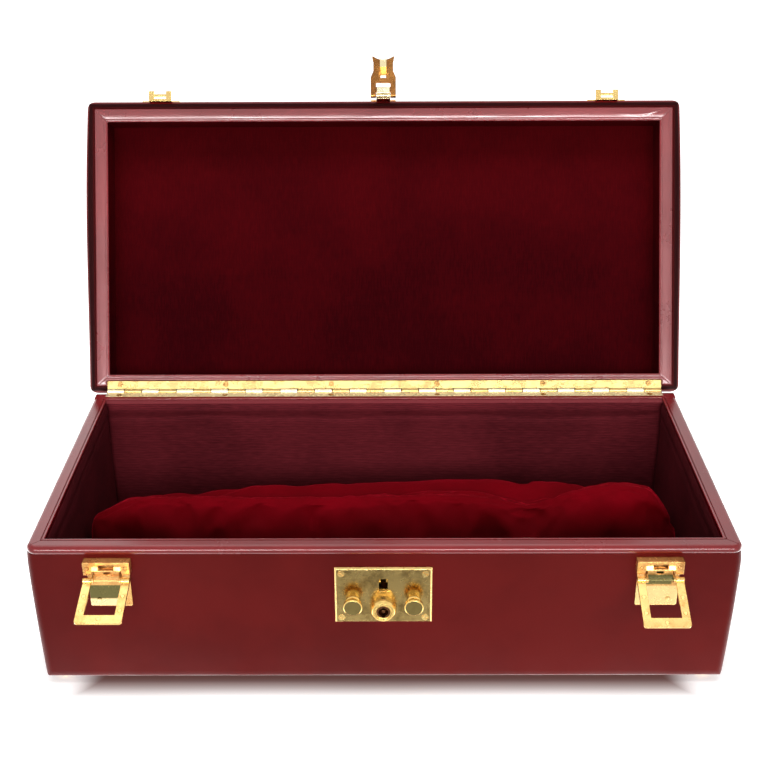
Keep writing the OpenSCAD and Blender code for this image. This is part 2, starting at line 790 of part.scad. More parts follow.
// The fixed collars that the button stems slide in
module button_collars() {
    color(BRASS) at_buttons() translate([0, plate_front_y, 0]) rotate([90, 0, 0])
        rotate_extrude($fn = round_fn) polygon([[stem_r + run_c, 0], [collar_r, 0],
            [collar_r, collar_t - 0.5], [collar_r - 0.5, collar_t], [stem_r + run_c, collar_t]]);
}

module key_plug() {
    hole_r = 2.5;
    post_r = 0.9;
    face_y = plate_front_y - barrel_out + 0.4;
    color(DULL_BRASS) translate([0, 0, barrel_z]) {
        difference() {
            translate([0, face_y, 0]) peg_y(plug_r, lock_in_y - 0.4 - face_y, fn = round_fn);
            translate([0, face_y - 1, 0]) peg_y(hole_r, 7);
            slab(1.8, face_y - 1, face_y + 6, -plug_r + 0.3, 0);
        }
        translate([0, face_y + 0.6, 0]) peg_y(post_r, 6);
    }
}

// A push button: cap, neck, stem and the cone that works its catch
module button() {
    face_y = plate_front_y - button_out;
    color(BRASS) translate([0, 0, button_z]) rotate([-90, 0, 0]) rotate_extrude($fn = round_fn)
        polygon([
            [0, face_y], [cap_r - 0.5, face_y], [cap_r, face_y + 0.4], [cap_r, face_y + cap_t - 0.3],
            [cap_r - 0.3, face_y + cap_t], [stem_r, face_y + cap_t], [stem_r, cone_start_y],
            [tip_r, cone_end_y], [tip_r, tip_end_y], [0, tip_end_y]
        ]);
}

module button_left() {
    translate([-button_x, 0, 0]) button();
}

module button_right() {
    translate([button_x, 0, 0]) button();
}

// The right-hand catch: a plate round the button's cone, with an arm up to the staple
module catch_plate() {
    hole_out = button_x + tip_r + 0.25;
    hole_in = button_x - stem_r - 0.3 - catch_travel;
    arm_in = 8.2;
    nose_x = staple_w / 2 - 0.6;
    color(DULL_BRASS) translate([0, catch_y, 0]) rotate([90, 0, 0]) mirror([0, 0, 1])
        linear_extrude(catch_t) difference() {
            union() {
                translate([arm_in, button_z - 4]) square([hole_out + 1.1 - arm_in, 8]);
                translate([arm_in, button_z - 4]) square([2.4, slot_z + 1.6 - button_z + 4]);
                polygon([[nose_x, slot_z - 1.2], [arm_in + 1, slot_z - 1.6], [arm_in + 1, slot_z + 1.6],
                    [nose_x, slot_z + 1.2]]);
            }
            translate([hole_in, button_z - stem_r - 0.3]) square([hole_out - hole_in, 2 * stem_r + 0.6]);
        }
}

module catch_left() {
    mirror([1, 0, 0]) catch_plate();
}

module catch_right() {
    catch_plate();
}

// A latch's fixed part, drawn at the middle of the case: back plate, folded strap, columns and ears
module latch_base() {
    strap_y = cover_front_y - latch_strap_out;
    spring_y = cover_front_y - spring_out;
    column_low_z = latch_pin_z + latch_eye_r + 0.5;
    color(BRASS) difference() {
        union() {
            latch_back_plate();
            slab(latch_w, strap_y, cover_front_y, latch_top_z - latch_sheet, latch_top_z);
            slab(latch_w, strap_y, strap_y + latch_sheet, latch_top_z - latch_strap_h, latch_top_z);
            latch_lip(strap_y);
            for (s = [-1, 1]) {
                translate([s * (latch_w / 2 - bar_w / 2), 0, 0])
                    slab(bar_w, strap_y, strap_y + latch_sheet, column_low_z, latch_top_z);
                translate([s * (latch_w - latch_sheet) / 2, 0, 0])
                    slab(latch_sheet, strap_y, cover_front_y, column_low_z, latch_top_z);
                translate([s * (ear_in - latch_ear_w / 2), 0, 0]) latch_ear();
            }
            slab(spring_w, spring_y, spring_y + spring_t, latch_pin_z - spring_low,
                latch_pin_z + spring_top);
            slab(spring_w, spring_y, cover_front_y, latch_pin_z - spring_low,
                latch_pin_z - spring_low + spring_t);
        }
        slab(latch_slot_w, strap_y - 2, strap_y + latch_sheet + 0.4, latch_top_z - latch_slot_low,
            latch_top_z - latch_slot_top);
        slab(spring_slot_w, spring_y - 1, spring_y + spring_t + 1, latch_pin_z + spring_slot_low,
            latch_pin_z + spring_slot_top);
        translate([0, latch_pin_y, latch_pin_z]) bar_x(pin_r + run_c, far);
    }
}

// The middle of the strap, which leans out to a lip
module latch_lip(strap_y) {
    lip_low_z = latch_top_z - latch_strap_h;
    lip_w = 2 * ear_in;
    translate([-lip_w / 2, 0, 0]) rotate([90, 0, 90]) linear_extrude(lip_w) polygon([
        [strap_y, latch_top_z - latch_lip_z], [strap_y - latch_lip_out, lip_low_z],
        [strap_y - latch_lip_out, lip_low_z - latch_sheet / 2],
        [strap_y + latch_sheet, lip_low_z - latch_sheet / 2],
        [strap_y + latch_sheet, latch_top_z - latch_lip_z]
    ]);
}

// The plate against the wall, with its lower corners cut
module latch_back_plate() {
    cut = latch_corner;
    half = latch_plate_w / 2;
    low_z = latch_top_z - latch_h;
    translate([0, cover_front_y, 0]) rotate([90, 0, 0]) linear_extrude(latch_plate_t)
        polygon([[-half, latch_top_z], [-half, low_z + cut], [cut - half, low_z],
            [half - cut, low_z], [half, low_z + cut], [half, latch_top_z]]);
}

// One ear that carries the latch's pin
module latch_ear() {
    translate([0, latch_pin_y, latch_pin_z]) bar_x(latch_eye_r, latch_ear_w);
    slab(latch_ear_w, latch_pin_y, cover_front_y, latch_pin_z - latch_eye_r, latch_pin_z + latch_eye_r);
}

// A latch frame, drawn hanging level and straight out from its pin towards the front
module latch_frame(droop) {
    bar_x0 = latch_w / 2 - bar_w / 2;
    color(BRASS) translate([0, latch_pin_y, latch_pin_z]) rotate([droop, 0, 0]) difference() {
        union() {
            for (s = [-1, 1]) translate([s * bar_x0, 0, 0]) {
                bar_x(latch_eye_r, bar_w);
                slab(bar_w, end_bar_w / 2 - frame_l, 0, -latch_eye_r, frame_t - latch_eye_r);
            }
            intersection() {
                slab(latch_w, -frame_l, end_bar_w - frame_l, -latch_eye_r, frame_t - latch_eye_r);
                translate([0, -frame_l, -latch_eye_r]) linear_extrude(frame_t)
                    soft_rect(latch_w, frame_l, frame_corner_r, frame_corner_r);
            }
        }
        bar_x(pin_r + run_c, far);
        frame_rivet_places() translate([0, 0, -latch_eye_r - 1])
            cylinder(r = rivet_r + run_c, h = 3 * frame_t, $fn = small_fn);
    }
}

// Places of the frame's rivets: two along each bar and one in the end bar
module frame_rivet_places() {
    for (s = [-1, 1]) for (share = rivet_rows)
        translate([s * (latch_w / 2 - bar_w / 2), -share * frame_l, 0]) children();
    translate([0, end_bar_w / 2 - frame_l, 0]) children();
}

module frame_rivets(droop) {
    color(BRASS) translate([0, latch_pin_y, latch_pin_z]) rotate([droop, 0, 0]) frame_rivet_places()
        translate([0, 0, -latch_eye_r]) {
            cylinder(r = rivet_r, h = frame_t, $fn = small_fn);
            translate([0, 0, frame_t])
                cylinder(r1 = rivet_head_r, r2 = 0.8 * rivet_head_r, h = 0.14, $fn = small_fn);
            translate([0, 0, -0.2])
                cylinder(r1 = 0.8 * rivet_head_r, r2 = rivet_head_r, h = 0.2, $fn = small_fn);
        }
}

module latch_pin() {
    color(BRASS) translate([0, latch_pin_y, latch_pin_z]) bar_x(pin_r, latch_w - 0.1);
}

module latch_base_left() {
    translate([-latch_x, 0, 0]) latch_base();
}

module latch_base_right() {
    translate([latch_x, 0, 0]) latch_base();
}

module latch_pin_left() {
    translate([-latch_x, 0, 0]) latch_pin();
}

module latch_pin_right() {
    translate([latch_x, 0, 0]) latch_pin();
}

module latch_frame_left() {
    translate([-latch_x, 0, 0]) latch_frame(left_droop);
}

module latch_frame_right() {
    translate([latch_x, 0, 0]) latch_frame(right_droop);
}

module frame_rivets_left() {
    translate([-latch_x, 0, 0]) frame_rivets(left_droop);
}

module frame_rivets_right() {
    translate([latch_x, 0, 0]) frame_rivets(right_droop);
}

// Round-headed rivets of the latch bases: two in each back plate and one in each column
module latch_rivets() {
    column_x = latch_w / 2 - bar_w / 2;
    color(BRASS) for (sx = [-1, 1]) for (s = [-1, 1]) translate([sx * latch_x, cover_front_y, latch_top_z]) {
        translate([s * latch_rivet_x, -latch_plate_t, latch_rivet_up - latch_h]) rivet_head();
        translate([s * column_x, -latch_strap_out, -latch_screw_drop]) rivet_head(1.15, 0.4);
    }
}

// A low domed head that points forward from y = 0
module rivet_head(r = 1.3, out = 0.6) {
    rotate([90, 0, 0]) cylinder(r1 = r, r2 = 0.6 * r, h = out, $fn = small_fn);
}

// The whole leather form of the closed lid
module lid_form(inset = 0) {
    translate([0, lid_mid_y, lid_z + inset])
        soft_block(lid_w - 2 * inset, lid_d - 2 * inset, lid_h - 2 * inset, lid_corner_r - inset,
            lid_edge_r - inset, lid_top_r - inset);
}

module lid_leaf_room() {
    slab(hinge_l + 2 * play, hinge_y - lid_leaf_w - play, hinge_y + play, lid_z - 1,
        lid_z + leaf_t + play / 3);
    knuckle_room();
}

module lid_leaf_pilots() {
    translate([0, lid_screw_y, lid_z - pilot_l]) along_leaf()
        cylinder(r = leaf_screw_r / 2 + run_c, h = 2 * pilot_l, $fn = small_fn);
}

// The band of the lid's underside that the leather frame covers
module lid_frame_band(h) {
    slab(inner_w + 2 * lid_rim_w, inner_front_y - lid_rim_w, inner_back_y + lid_rim_back_w,
        lid_z - 1, lid_z + h);
}

module lid_carcass() {
    color(WOOD) on_lid() difference() {
        lid_form(leather_t);
        lid_frame_band(rim_t);
        slab(inner_w + 2 * lining_t, inner_front_y - lining_t, inner_back_y + lining_t, lid_z - 1,
            recess_top_z + lining_t);
        lid_leaf_room();
        lid_leaf_pilots();
    }
}

module lid_cover() {
    color(LEATHER) on_lid() difference() {
        lid_form();
        lid_form(leather_t);
        lid_frame_band(leather_t + 0.01);
        lid_leaf_room();
    }
}

// The mitred leather frame round the opening of the lid, with its lip
module lid_rim() {
    color(LEATHER) on_lid() difference() {
        union() {
            slab(inner_w + 2 * lid_rim_w, inner_front_y - lid_rim_w, inner_back_y + lid_rim_back_w,
                lid_z, lid_z + rim_t);
            slab(inner_w + 2 * lining_t, inner_front_y - lining_t, inner_back_y + lining_t, lid_z,
                lid_z + lip_h);
        }
        slab(inner_w, inner_front_y, inner_back_y, lid_z - 1, far);
        difference() {
            slab(inner_w + 2 * (lining_t + crease_w), inner_front_y - lining_t - crease_w,
                inner_back_y + lining_t + crease_w, lid_z - 1, lid_z + rim_t / 2);
            slab(inner_w + 2 * lining_t, inner_front_y - lining_t, inner_back_y + lining_t, lid_z - 2,
                lid_z + rim_t);
        }
        lid_leaf_room();
        lid_leaf_pilots();
        translate([0, 0, lid_z]) for (s = [-1, 1]) {
            mitre(s * inner_w / 2, inner_front_y, s * lid_rim_w, -lid_rim_w);
            mitre(s * inner_w / 2, inner_back_y, s * lid_rim_w, lid_rim_back_w);
        }
    }
}

module lid_lining_top() {
    color(LINING) on_lid()
        slab(inner_w + 2 * lining_t, inner_front_y - lining_t, inner_back_y + lining_t, recess_top_z,
            recess_top_z + lining_t);
}

module lid_lining_front() {
    color(LINING) on_lid()
        slab(inner_w, inner_front_y - lining_t, inner_front_y, lid_z + lip_h, recess_top_z);
}

module lid_lining_back() {
    color(LINING) on_lid()
        slab(inner_w, inner_back_y, inner_back_y + lining_t, lid_z + lip_h, recess_top_z);
}

module lid_lining_side() {
    on_lid() translate([-inner_w / 2 - lining_t, inner_front_y - lining_t, lid_z + lip_h])
        cube([lining_t, inner_d + 2 * lining_t, recess_top_z - lid_z - lip_h]);
}

module lid_lining_left() {
    color(LINING) lid_lining_side();
}

module lid_lining_right() {
    color(LINING) mirror([1, 0, 0]) lid_lining_side();
}

// A keeper on the lid's front, drawn at the middle of the closed case: a plate that reaches down
// before the lid's edge, and a bracket with two horns and a bar between them
module keeper() {
    low_z = keeper_top_z - keeper_bracket_h;
    color(BRASS) on_lid() difference() {
        union() {
            slab(latch_w, lid_front_y - keeper_t, lid_front_y, keeper_z, keeper_z + keeper_h);
            slab(keeper_w, lid_front_y - keeper_t, lid_front_y, low_z, keeper_z + 1);
            slab(keeper_w, lid_front_y - keeper_out, lid_front_y, low_z, keeper_top_z);
        }
        slab(keeper_slot_w, lid_front_y - keeper_slot_out, lid_front_y - keeper_slot_in, low_z - 1,
            keeper_top_z + 1);
        slab(keeper_slot_w, lid_front_y - keeper_out - 1, lid_front_y - keeper_bar_out, low_z - 1,
            keeper_top_z + 1);
        lid_form();
    }
}

module keeper_left() {
    translate([-latch_x, 0, 0]) keeper();
}

module keeper_right() {
    translate([latch_x, 0, 0]) keeper();
}

module keeper_rivets() {
    color(BRASS) on_lid() for (sx = [-1, 1]) for (s = [-1, 1])
        translate([sx * latch_x + s * (latch_w / 2 - 2), lid_front_y - keeper_t, keeper_z + 2.3])
            rivet_head(1, 0.15);
}

// The fixed leaf of the hasp on the lid's front, with its middle eye
module hasp_plate() {
    eye_w = hasp_w - 2 * hasp_rail_w - 2 * play;
    leaf_top_z = lid_z + lid_edge_r + hasp_leaf_h;
    color(BRASS) on_lid() difference() {
        union() {
            slab(hasp_w, lid_front_y - hasp_leaf_t, lid_front_y, lid_z + lid_edge_r + 0.2, leaf_top_z);
            slab(eye_w, lid_front_y - hasp_leaf_t, lid_front_y, hasp_pin_z, leaf_top_z);
            translate([0, hasp_pin_y, hasp_pin_z]) bar_x(hasp_eye_r, eye_w);
        }
        translate([0, hasp_pin_y, hasp_pin_z]) bar_x(pin_r + run_c, far);
        lid_form();
    }
}

module hasp_plate_rivets() {
    color(BRASS) on_lid() for (s = [-1, 1])
        translate([s * hasp_rivet_x, lid_front_y - hasp_leaf_t, lid_z + lid_edge_r + hasp_leaf_h - 3])
            rivet_head(1.1, 0.5);
}

module hasp_pin() {
    color(BRASS) on_lid() translate([0, hasp_pin_y, hasp_pin_z]) bar_x(pin_r, hasp_w - 0.2);
}

// The outline of the hasp, hanging down from its pin: legs, shoulders, neck and hollow tip
module hasp_outline() {
    half = [
        [hasp_w / 2, 0], [hasp_w / 2, -hasp_shoulder], [hasp_neck_w / 2, -hasp_neck],
        [hasp_neck_w / 2, hasp_flare_l - hasp_horn], [hasp_tip_w / 2, -hasp_horn]
    ];
    difference() {
        polygon(concat(half, [for (i = [len(half) - 1 : -1 : 0]) [-half[i][0], half[i][1]]]));
        translate([0, hasp_hollow - hasp_l - hasp_tip_r]) circle(hasp_tip_r, $fn = round_fn);
    }
}

module hasp() {
    window_w = hasp_w - 2 * hasp_rail_w;
    color(BRASS) on_hasp() difference() {
        union() {
            translate([0, hasp_out_y + hasp_t, hasp_pin_z]) rotate([90, 0, 0])
                linear_extrude(hasp_t) hasp_outline();
            translate([0, hasp_out_y + hasp_t + hasp_rail_t, hasp_pin_z]) rotate([90, 0, 0])
                linear_extrude(hasp_rail_t) difference() {
                    hasp_outline();
                    translate([-window_w / 2, -hasp_window_l]) square([window_w, 2 * hasp_window_l]);
                    translate([-far / 2, -far - hasp_l + 2.2]) square([far, far]);
                }
            for (s = [-1, 1]) translate([s * (hasp_w - hasp_rail_w) / 2, hasp_pin_y, hasp_pin_z])
                bar_x(hasp_eye_r, hasp_rail_w);
        }
        translate([0, hasp_pin_y, hasp_pin_z]) bar_x(pin_r + run_c, far);
        slab(window_w + 2 * run_c, hasp_out_y - 1, far, hasp_pin_z - hasp_eye_r - 0.4, far);
        slab(window_w, hasp_out_y - 1, far, hasp_pin_z - hasp_window_l, hasp_pin_z - hasp_fill_l);
        slab(hasp_notch_w, hasp_out_y - 1, far, hasp_pin_z - hasp_notch_low, hasp_pin_z - hasp_notch_top);
    }
}

// The staple that enters the lock, with a notch in each side for the catches
module hasp_staple() {
    root_y = hasp_out_y + hasp_t + hasp_rail_t;
    tip_in = 0.7;
    color(BRASS) on_hasp() difference() {
        intersection() {
            translate([0, 0, slot_z]) linear_extrude(staple_h, center = true) polygon([
                [-staple_w / 2, root_y], [staple_w / 2, root_y], [staple_w / 2, staple_tip_y - tip_in],
                [staple_w / 4, staple_tip_y], [-staple_w / 4, staple_tip_y],
                [-staple_w / 2, staple_tip_y - tip_in]]);
            translate([0, hasp_pin_y, hasp_pin_z]) bar_x(staple_swing_r, far, round_fn);
        }
        for (s = [-1, 1]) translate([s * staple_w / 2, 0, slot_z])
            slab(1.8, catch_y - 0.15, catch_y + catch_t + 0.15, -1.7, 1.7);
    }
}

body_carcass();
body_cover();
body_rim();
lining_floor();
lining_front();
lining_back();
lining_left();
lining_right();
velvet_pad();
feet();
hinge_leaf_body();
hinge_pin();
hinge_screws_body();
lock_plate();
lock_plate_screws();
lock_case();
key_barrel();
button_collars();
key_plug();
button_left();
button_right();
catch_left();
catch_right();
latch_base_left();
latch_base_right();
latch_pin_left();
latch_pin_right();
latch_rivets();
latch_frame_left();
latch_frame_right();
frame_rivets_left();
frame_rivets_right();
lid_carcass();
lid_cover();
lid_rim();
lid_lining_top();
lid_lining_front();
lid_lining_back();
lid_lining_left();
lid_lining_right();
hinge_leaf_lid();
hinge_screws_lid();
keeper_left();
keeper_right();
keeper_rivets();
hasp_plate();
hasp_plate_rivets();
hasp_pin();
hasp();
hasp_staple();
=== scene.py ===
# %% [markdown]
# # A leather jewelry case, dressed for its portrait
# The case comes in as a finished model: its boards, leather skins, brass fittings and joints are all in
# place, in metres. This lesson adds what a solid model lacks, which is what the eye reads first: the
# grain of polished leather, the pile of velvet, woven linings and handled brass.

import math

import bmesh
import bpy
import numpy as np
from mathutils import Matrix, Vector, noise


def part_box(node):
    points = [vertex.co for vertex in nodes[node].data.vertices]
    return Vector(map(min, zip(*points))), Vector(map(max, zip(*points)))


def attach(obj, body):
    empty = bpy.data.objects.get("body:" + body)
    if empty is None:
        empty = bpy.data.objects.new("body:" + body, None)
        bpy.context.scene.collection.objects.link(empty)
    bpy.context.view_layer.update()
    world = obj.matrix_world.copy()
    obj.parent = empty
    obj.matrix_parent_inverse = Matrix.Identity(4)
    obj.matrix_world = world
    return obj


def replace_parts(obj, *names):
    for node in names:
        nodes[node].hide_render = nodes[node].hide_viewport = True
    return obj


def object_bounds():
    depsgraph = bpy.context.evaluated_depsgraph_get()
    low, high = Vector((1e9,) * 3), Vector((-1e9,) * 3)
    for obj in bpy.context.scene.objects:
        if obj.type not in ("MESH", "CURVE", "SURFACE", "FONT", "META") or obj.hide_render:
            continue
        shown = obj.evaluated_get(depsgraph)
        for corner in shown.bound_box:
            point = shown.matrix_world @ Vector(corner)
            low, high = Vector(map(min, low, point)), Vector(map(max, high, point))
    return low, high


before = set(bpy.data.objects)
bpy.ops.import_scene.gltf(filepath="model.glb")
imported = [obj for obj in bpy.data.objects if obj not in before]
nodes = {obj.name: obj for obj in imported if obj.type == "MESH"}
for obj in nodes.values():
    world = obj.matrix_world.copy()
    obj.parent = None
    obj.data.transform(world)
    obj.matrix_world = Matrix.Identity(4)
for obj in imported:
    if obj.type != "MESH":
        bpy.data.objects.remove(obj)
MM = 0.001
case_box = [list(corner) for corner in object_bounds()]
print("case:", len(nodes), "nodes,", [round((b - a) / MM) for a, b in zip(*case_box)], "mm")


# %% [markdown]
# ## The camera
# A product photograph has one fixed viewpoint. This one stands 62 cm in front of the middle of the case and
# 44 cm above its feet, with a lens of 59 mm on a 36 mm sensor, and looks 26 degrees down. The picture is
# square, so only the width of the sensor matters.

# %% The photograph's viewpoint
scene = bpy.context.scene


def placed(name, data):
    """A new object with its data, linked to the scene."""
    made = bpy.data.objects.new(name, data)
    scene.collection.objects.link(made)
    return made


def portrait_camera(place_mm, pitch, yaw, roll, lens_mm):
    """A camera at a place in millimetres, turned by three angles in degrees from looking along +Y."""
    pitch, yaw, roll = (math.radians(a) for a in (pitch, yaw, roll))
    ahead = Vector((math.sin(yaw) * math.cos(pitch), math.cos(yaw) * math.cos(pitch), -math.sin(pitch)))
    right = Vector((math.cos(yaw), -math.sin(yaw), 0))
    up = right.cross(ahead)
    right_r = right * math.cos(roll) + up * math.sin(roll)
    up_r = up * math.cos(roll) - right * math.sin(roll)
    data = bpy.data.cameras.new("portrait_camera")
    data.lens, data.sensor_width = lens_mm, 36
    data.clip_start, data.clip_end = 0.01, 50
    camera = placed("portrait_camera", data)
    turn = Matrix((right_r, up_r, -ahead)).transposed().to_4x4()
    camera.matrix_world = Matrix.Translation(Vector(place_mm) * MM) @ turn
    return camera


scene.camera = portrait_camera((3.3, -619.8, 436.4), 26.02, -0.27, -0.26, 59.23)
print("camera at", [round(v, 3) for v in scene.camera.location])

# %% [markdown]
# ## Studio: light, floor and background
# The photograph was taken on white paper under broad soft light. A lamp overhead and one behind the camera
# light the case and its inside, a pale world fills the shadows, and neither lamp shows in a reflection.
# What leather and brass reflect is a room painted in the world: a pale horizon, a dimmer ceiling with a
# round panel, and a bright strip low behind the camera, which draws the thin line along the rolled rim.

# %% Node helpers
def give(made, **inputs):
    """Sets a node's inputs by title or number: an output is linked, and a plain value is set."""
    for key, value in inputs.items():
        socket = made.inputs[int(key) if key.isdigit() else key.replace("_", " ")]
        if hasattr(value, "is_output"):
            made.id_data.links.new(value, socket)
        else:
            socket.default_value = value


def node(tree, kind, **settings):
    """A new node in a tree. Settings that start with in_ go to its inputs, the others to the node."""
    made = tree.nodes.new(kind)
    for key, value in settings.items():
        if key.startswith("in_"):
            give(made, **{key[3:]: value})
        else:
            setattr(made, key, value)
    return made


def math_node(tree, operation, a, b=0.0, c=0.0, clamp=False):
    """The output of a Math node on two or three numbers or sockets."""
    return node(tree, "ShaderNodeMath", operation=operation, use_clamp=clamp, in_0=a, in_1=b,
                in_2=c).outputs[0]


def times(tree, a, b):
    """The product of two numbers or sockets."""
    return math_node(tree, "MULTIPLY", a, b)


def shares(tree, a, share_a, b, share_b):
    """The sum of two numbers or sockets, each times its share."""
    return math_node(tree, "MULTIPLY_ADD", a, share_a, times(tree, b, share_b))


def vector_math(tree, operation, a, b=(0, 0, 0), result="Vector"):
    """The output of a Vector Math node on two vectors or sockets."""
    return node(tree, "ShaderNodeVectorMath", operation=operation, in_0=a, in_1=b).outputs[result]


def xyz(tree, place):
    """The three coordinates of a place, by the names X, Y and Z."""
    return node(tree, "ShaderNodeSeparateXYZ", in_0=place).outputs


def cloudy(tree, place, scale, detail, rough=0.5):
    """A noise of 0 to 1 with so many lumps to the metre."""
    return node(tree, "ShaderNodeTexNoise", in_Vector=place, in_Scale=scale, in_Detail=detail,
                in_Roughness=rough).outputs[0]


def ramp(tree, value, low, high, to_low=0.0, to_high=1.0):
    """A number remapped from low..high to another range, clamped, with smooth ends."""
    return node(tree, "ShaderNodeMapRange", interpolation_type="SMOOTHSTEP", in_Value=value,
                in_From_Min=low, in_From_Max=high, in_To_Min=to_low, in_To_Max=to_high).outputs[0]


def blend(tree, factor, a, b):
    """A colour mixed from a to b."""
    return node(tree, "ShaderNodeMix", data_type="RGBA", in_0=factor, in_6=a, in_7=b).outputs[2]


def paint(red, green, blue):
    """A colour as the eye names it, 0 to 255, in the linear values that shaders work in."""
    parts = [v / 255 for v in (red, green, blue)]
    return [v / 12.92 if v <= 0.04045 else ((v + 0.055) / 1.055) ** 2.4 for v in parts] + [1.0]


# %% Masks by place
def inside_box(tree, place, low, high, soft=0.6 * MM):
    """A mask of 1 inside a box, fading over a short distance at its faces."""
    mask = None
    for axis, a, b in zip("XYZ", low, high):
        at = xyz(tree, place)[axis]
        side = times(tree, ramp(tree, at, a, a + soft), ramp(tree, at, b - soft, b, 1.0, 0.0))
        mask = side if mask is None else times(tree, mask, side)
    return mask


def with_zones(tree, place, tone, zones):
    """A colour, with another one inside each zone: a zone is a box's two corners, in metres, and a colour."""
    for low, high, colour in zones:
        tone = blend(tree, inside_box(tree, place, low, high), tone, colour)
    return tone


# %% The world
def panel(tree, way, towards, inside, outside, strength):
    """A soft round panel in the reflected room: its strength within one angle, fading to another."""
    length = math.sqrt(sum(v * v for v in towards))
    turn = vector_math(tree, "DOT_PRODUCT", way, [v / length for v in towards], "Value")
    return ramp(tree, turn, math.cos(math.radians(outside)), math.cos(math.radians(inside)), 0.0, strength)


# Each way into the room is a unit vector: z is 1 overhead, and y is -1 behind the camera and 1 beyond the
# case. The first number of a pair is where a change begins, and the second is where it is complete.
CEILING, BACK_WALL, BACK_WALL_RIGHT = (0.58, 0.84), (0.5, 0.95), (-0.2, 0.25)
STRIP_FOOT, STRIP_TOP, STRIP_BEHIND, STRIP_ENDS = (0.02, 0.1), (0.17, 0.27), (-0.6, -0.85), (0.3, 0.5)


def studio_world(fill, ceiling, horizon, back, window):
    """White where the camera looks, a room with soft panels for reflections, and a plain fill else."""
    world = bpy.data.worlds.new("studio")
    scene.world = world
    world.use_nodes = True
    tree = world.node_tree
    tree.nodes.clear()
    path = node(tree, "ShaderNodeLightPath").outputs
    way = node(tree, "ShaderNodeTexCoord").outputs["Generated"]
    x, y, z = xyz(tree, way)
    room = ramp(tree, z, *CEILING, horizon, ceiling)
    wall = times(tree, ramp(tree, y, *BACK_WALL, 0.0, back), ramp(tree, x, *BACK_WALL_RIGHT, 1.0, 0.35))
    overhead = panel(tree, way, (0, 0.42, 0.9), inside=14, outside=34, strength=1.3)
    room = math_node(tree, "ADD", math_node(tree, "ADD", room, wall), overhead)
    strip = times(tree, ramp(tree, z, *STRIP_FOOT), ramp(tree, z, *STRIP_TOP, 1.0, 0.0))
    behind = times(tree, ramp(tree, y, *STRIP_BEHIND),
                   ramp(tree, math_node(tree, "ABSOLUTE", x), *STRIP_ENDS, 1.0, 0.0))
    room = math_node(tree, "MULTIPLY_ADD", times(tree, strip, behind), window, room)
    seen = math_node(tree, "MAXIMUM", path["Is Camera Ray"], path["Is Transmission Ray"])
    level = math_node(tree, "ADD", times(tree, path["Is Glossy Ray"], room), seen)
    neither = math_node(tree, "SUBTRACT", 1.0, math_node(tree, "MAXIMUM", seen, path["Is Glossy Ray"]))
    shade = node(tree, "ShaderNodeBackground", in_Color=(1, 1, 1, 1),
                 in_Strength=math_node(tree, "ADD", level, times(tree, neither, fill)))
    node(tree, "ShaderNodeOutputWorld", in_0=shade.outputs[0])


studio_world(fill=0.34, ceiling=0.75, horizon=0.95, back=1.0, window=20.0)
scene.view_settings.view_transform = "Standard"


# %% Lamps
def softbox(name, place, aim, width, height, watts):
    """A rectangular lamp at a place, turned to a point, all in metres."""
    data = bpy.data.lights.new(name, "AREA")
    data.shape, data.size, data.size_y = "RECTANGLE", width, height
    data.energy = watts
    lamp = placed(name, data)
    lamp.location = place
    lamp.rotation_mode = "QUATERNION"
    lamp.rotation_quaternion = (Vector(aim) - Vector(place)).to_track_quat("-Z", "Y")
    lamp.visible_glossy = False


softbox("front_box", (0.0, -1.45, 0.66), (0, 0, 0.14), 1.3, 0.4, 15)
softbox("top_box", (0.0, -0.12, 1.25), (0, 0.02, 0.05), 1.4, 0.5, 9)


# %% The floor
# A shadow painted along the front, tinted by the red leather's bounce: its place and width in metres, and
# where its ends and back fade.
SHADOW_FROM, SHADOW_WIDE, SHADOW_ENDS, SHADOW_BACK = -0.082, 0.0165, (0.148, 0.168), (0.06, 0.085)
SHADOW, PAPER = paint(104, 74, 70), (0.9, 0.9, 0.9, 1)


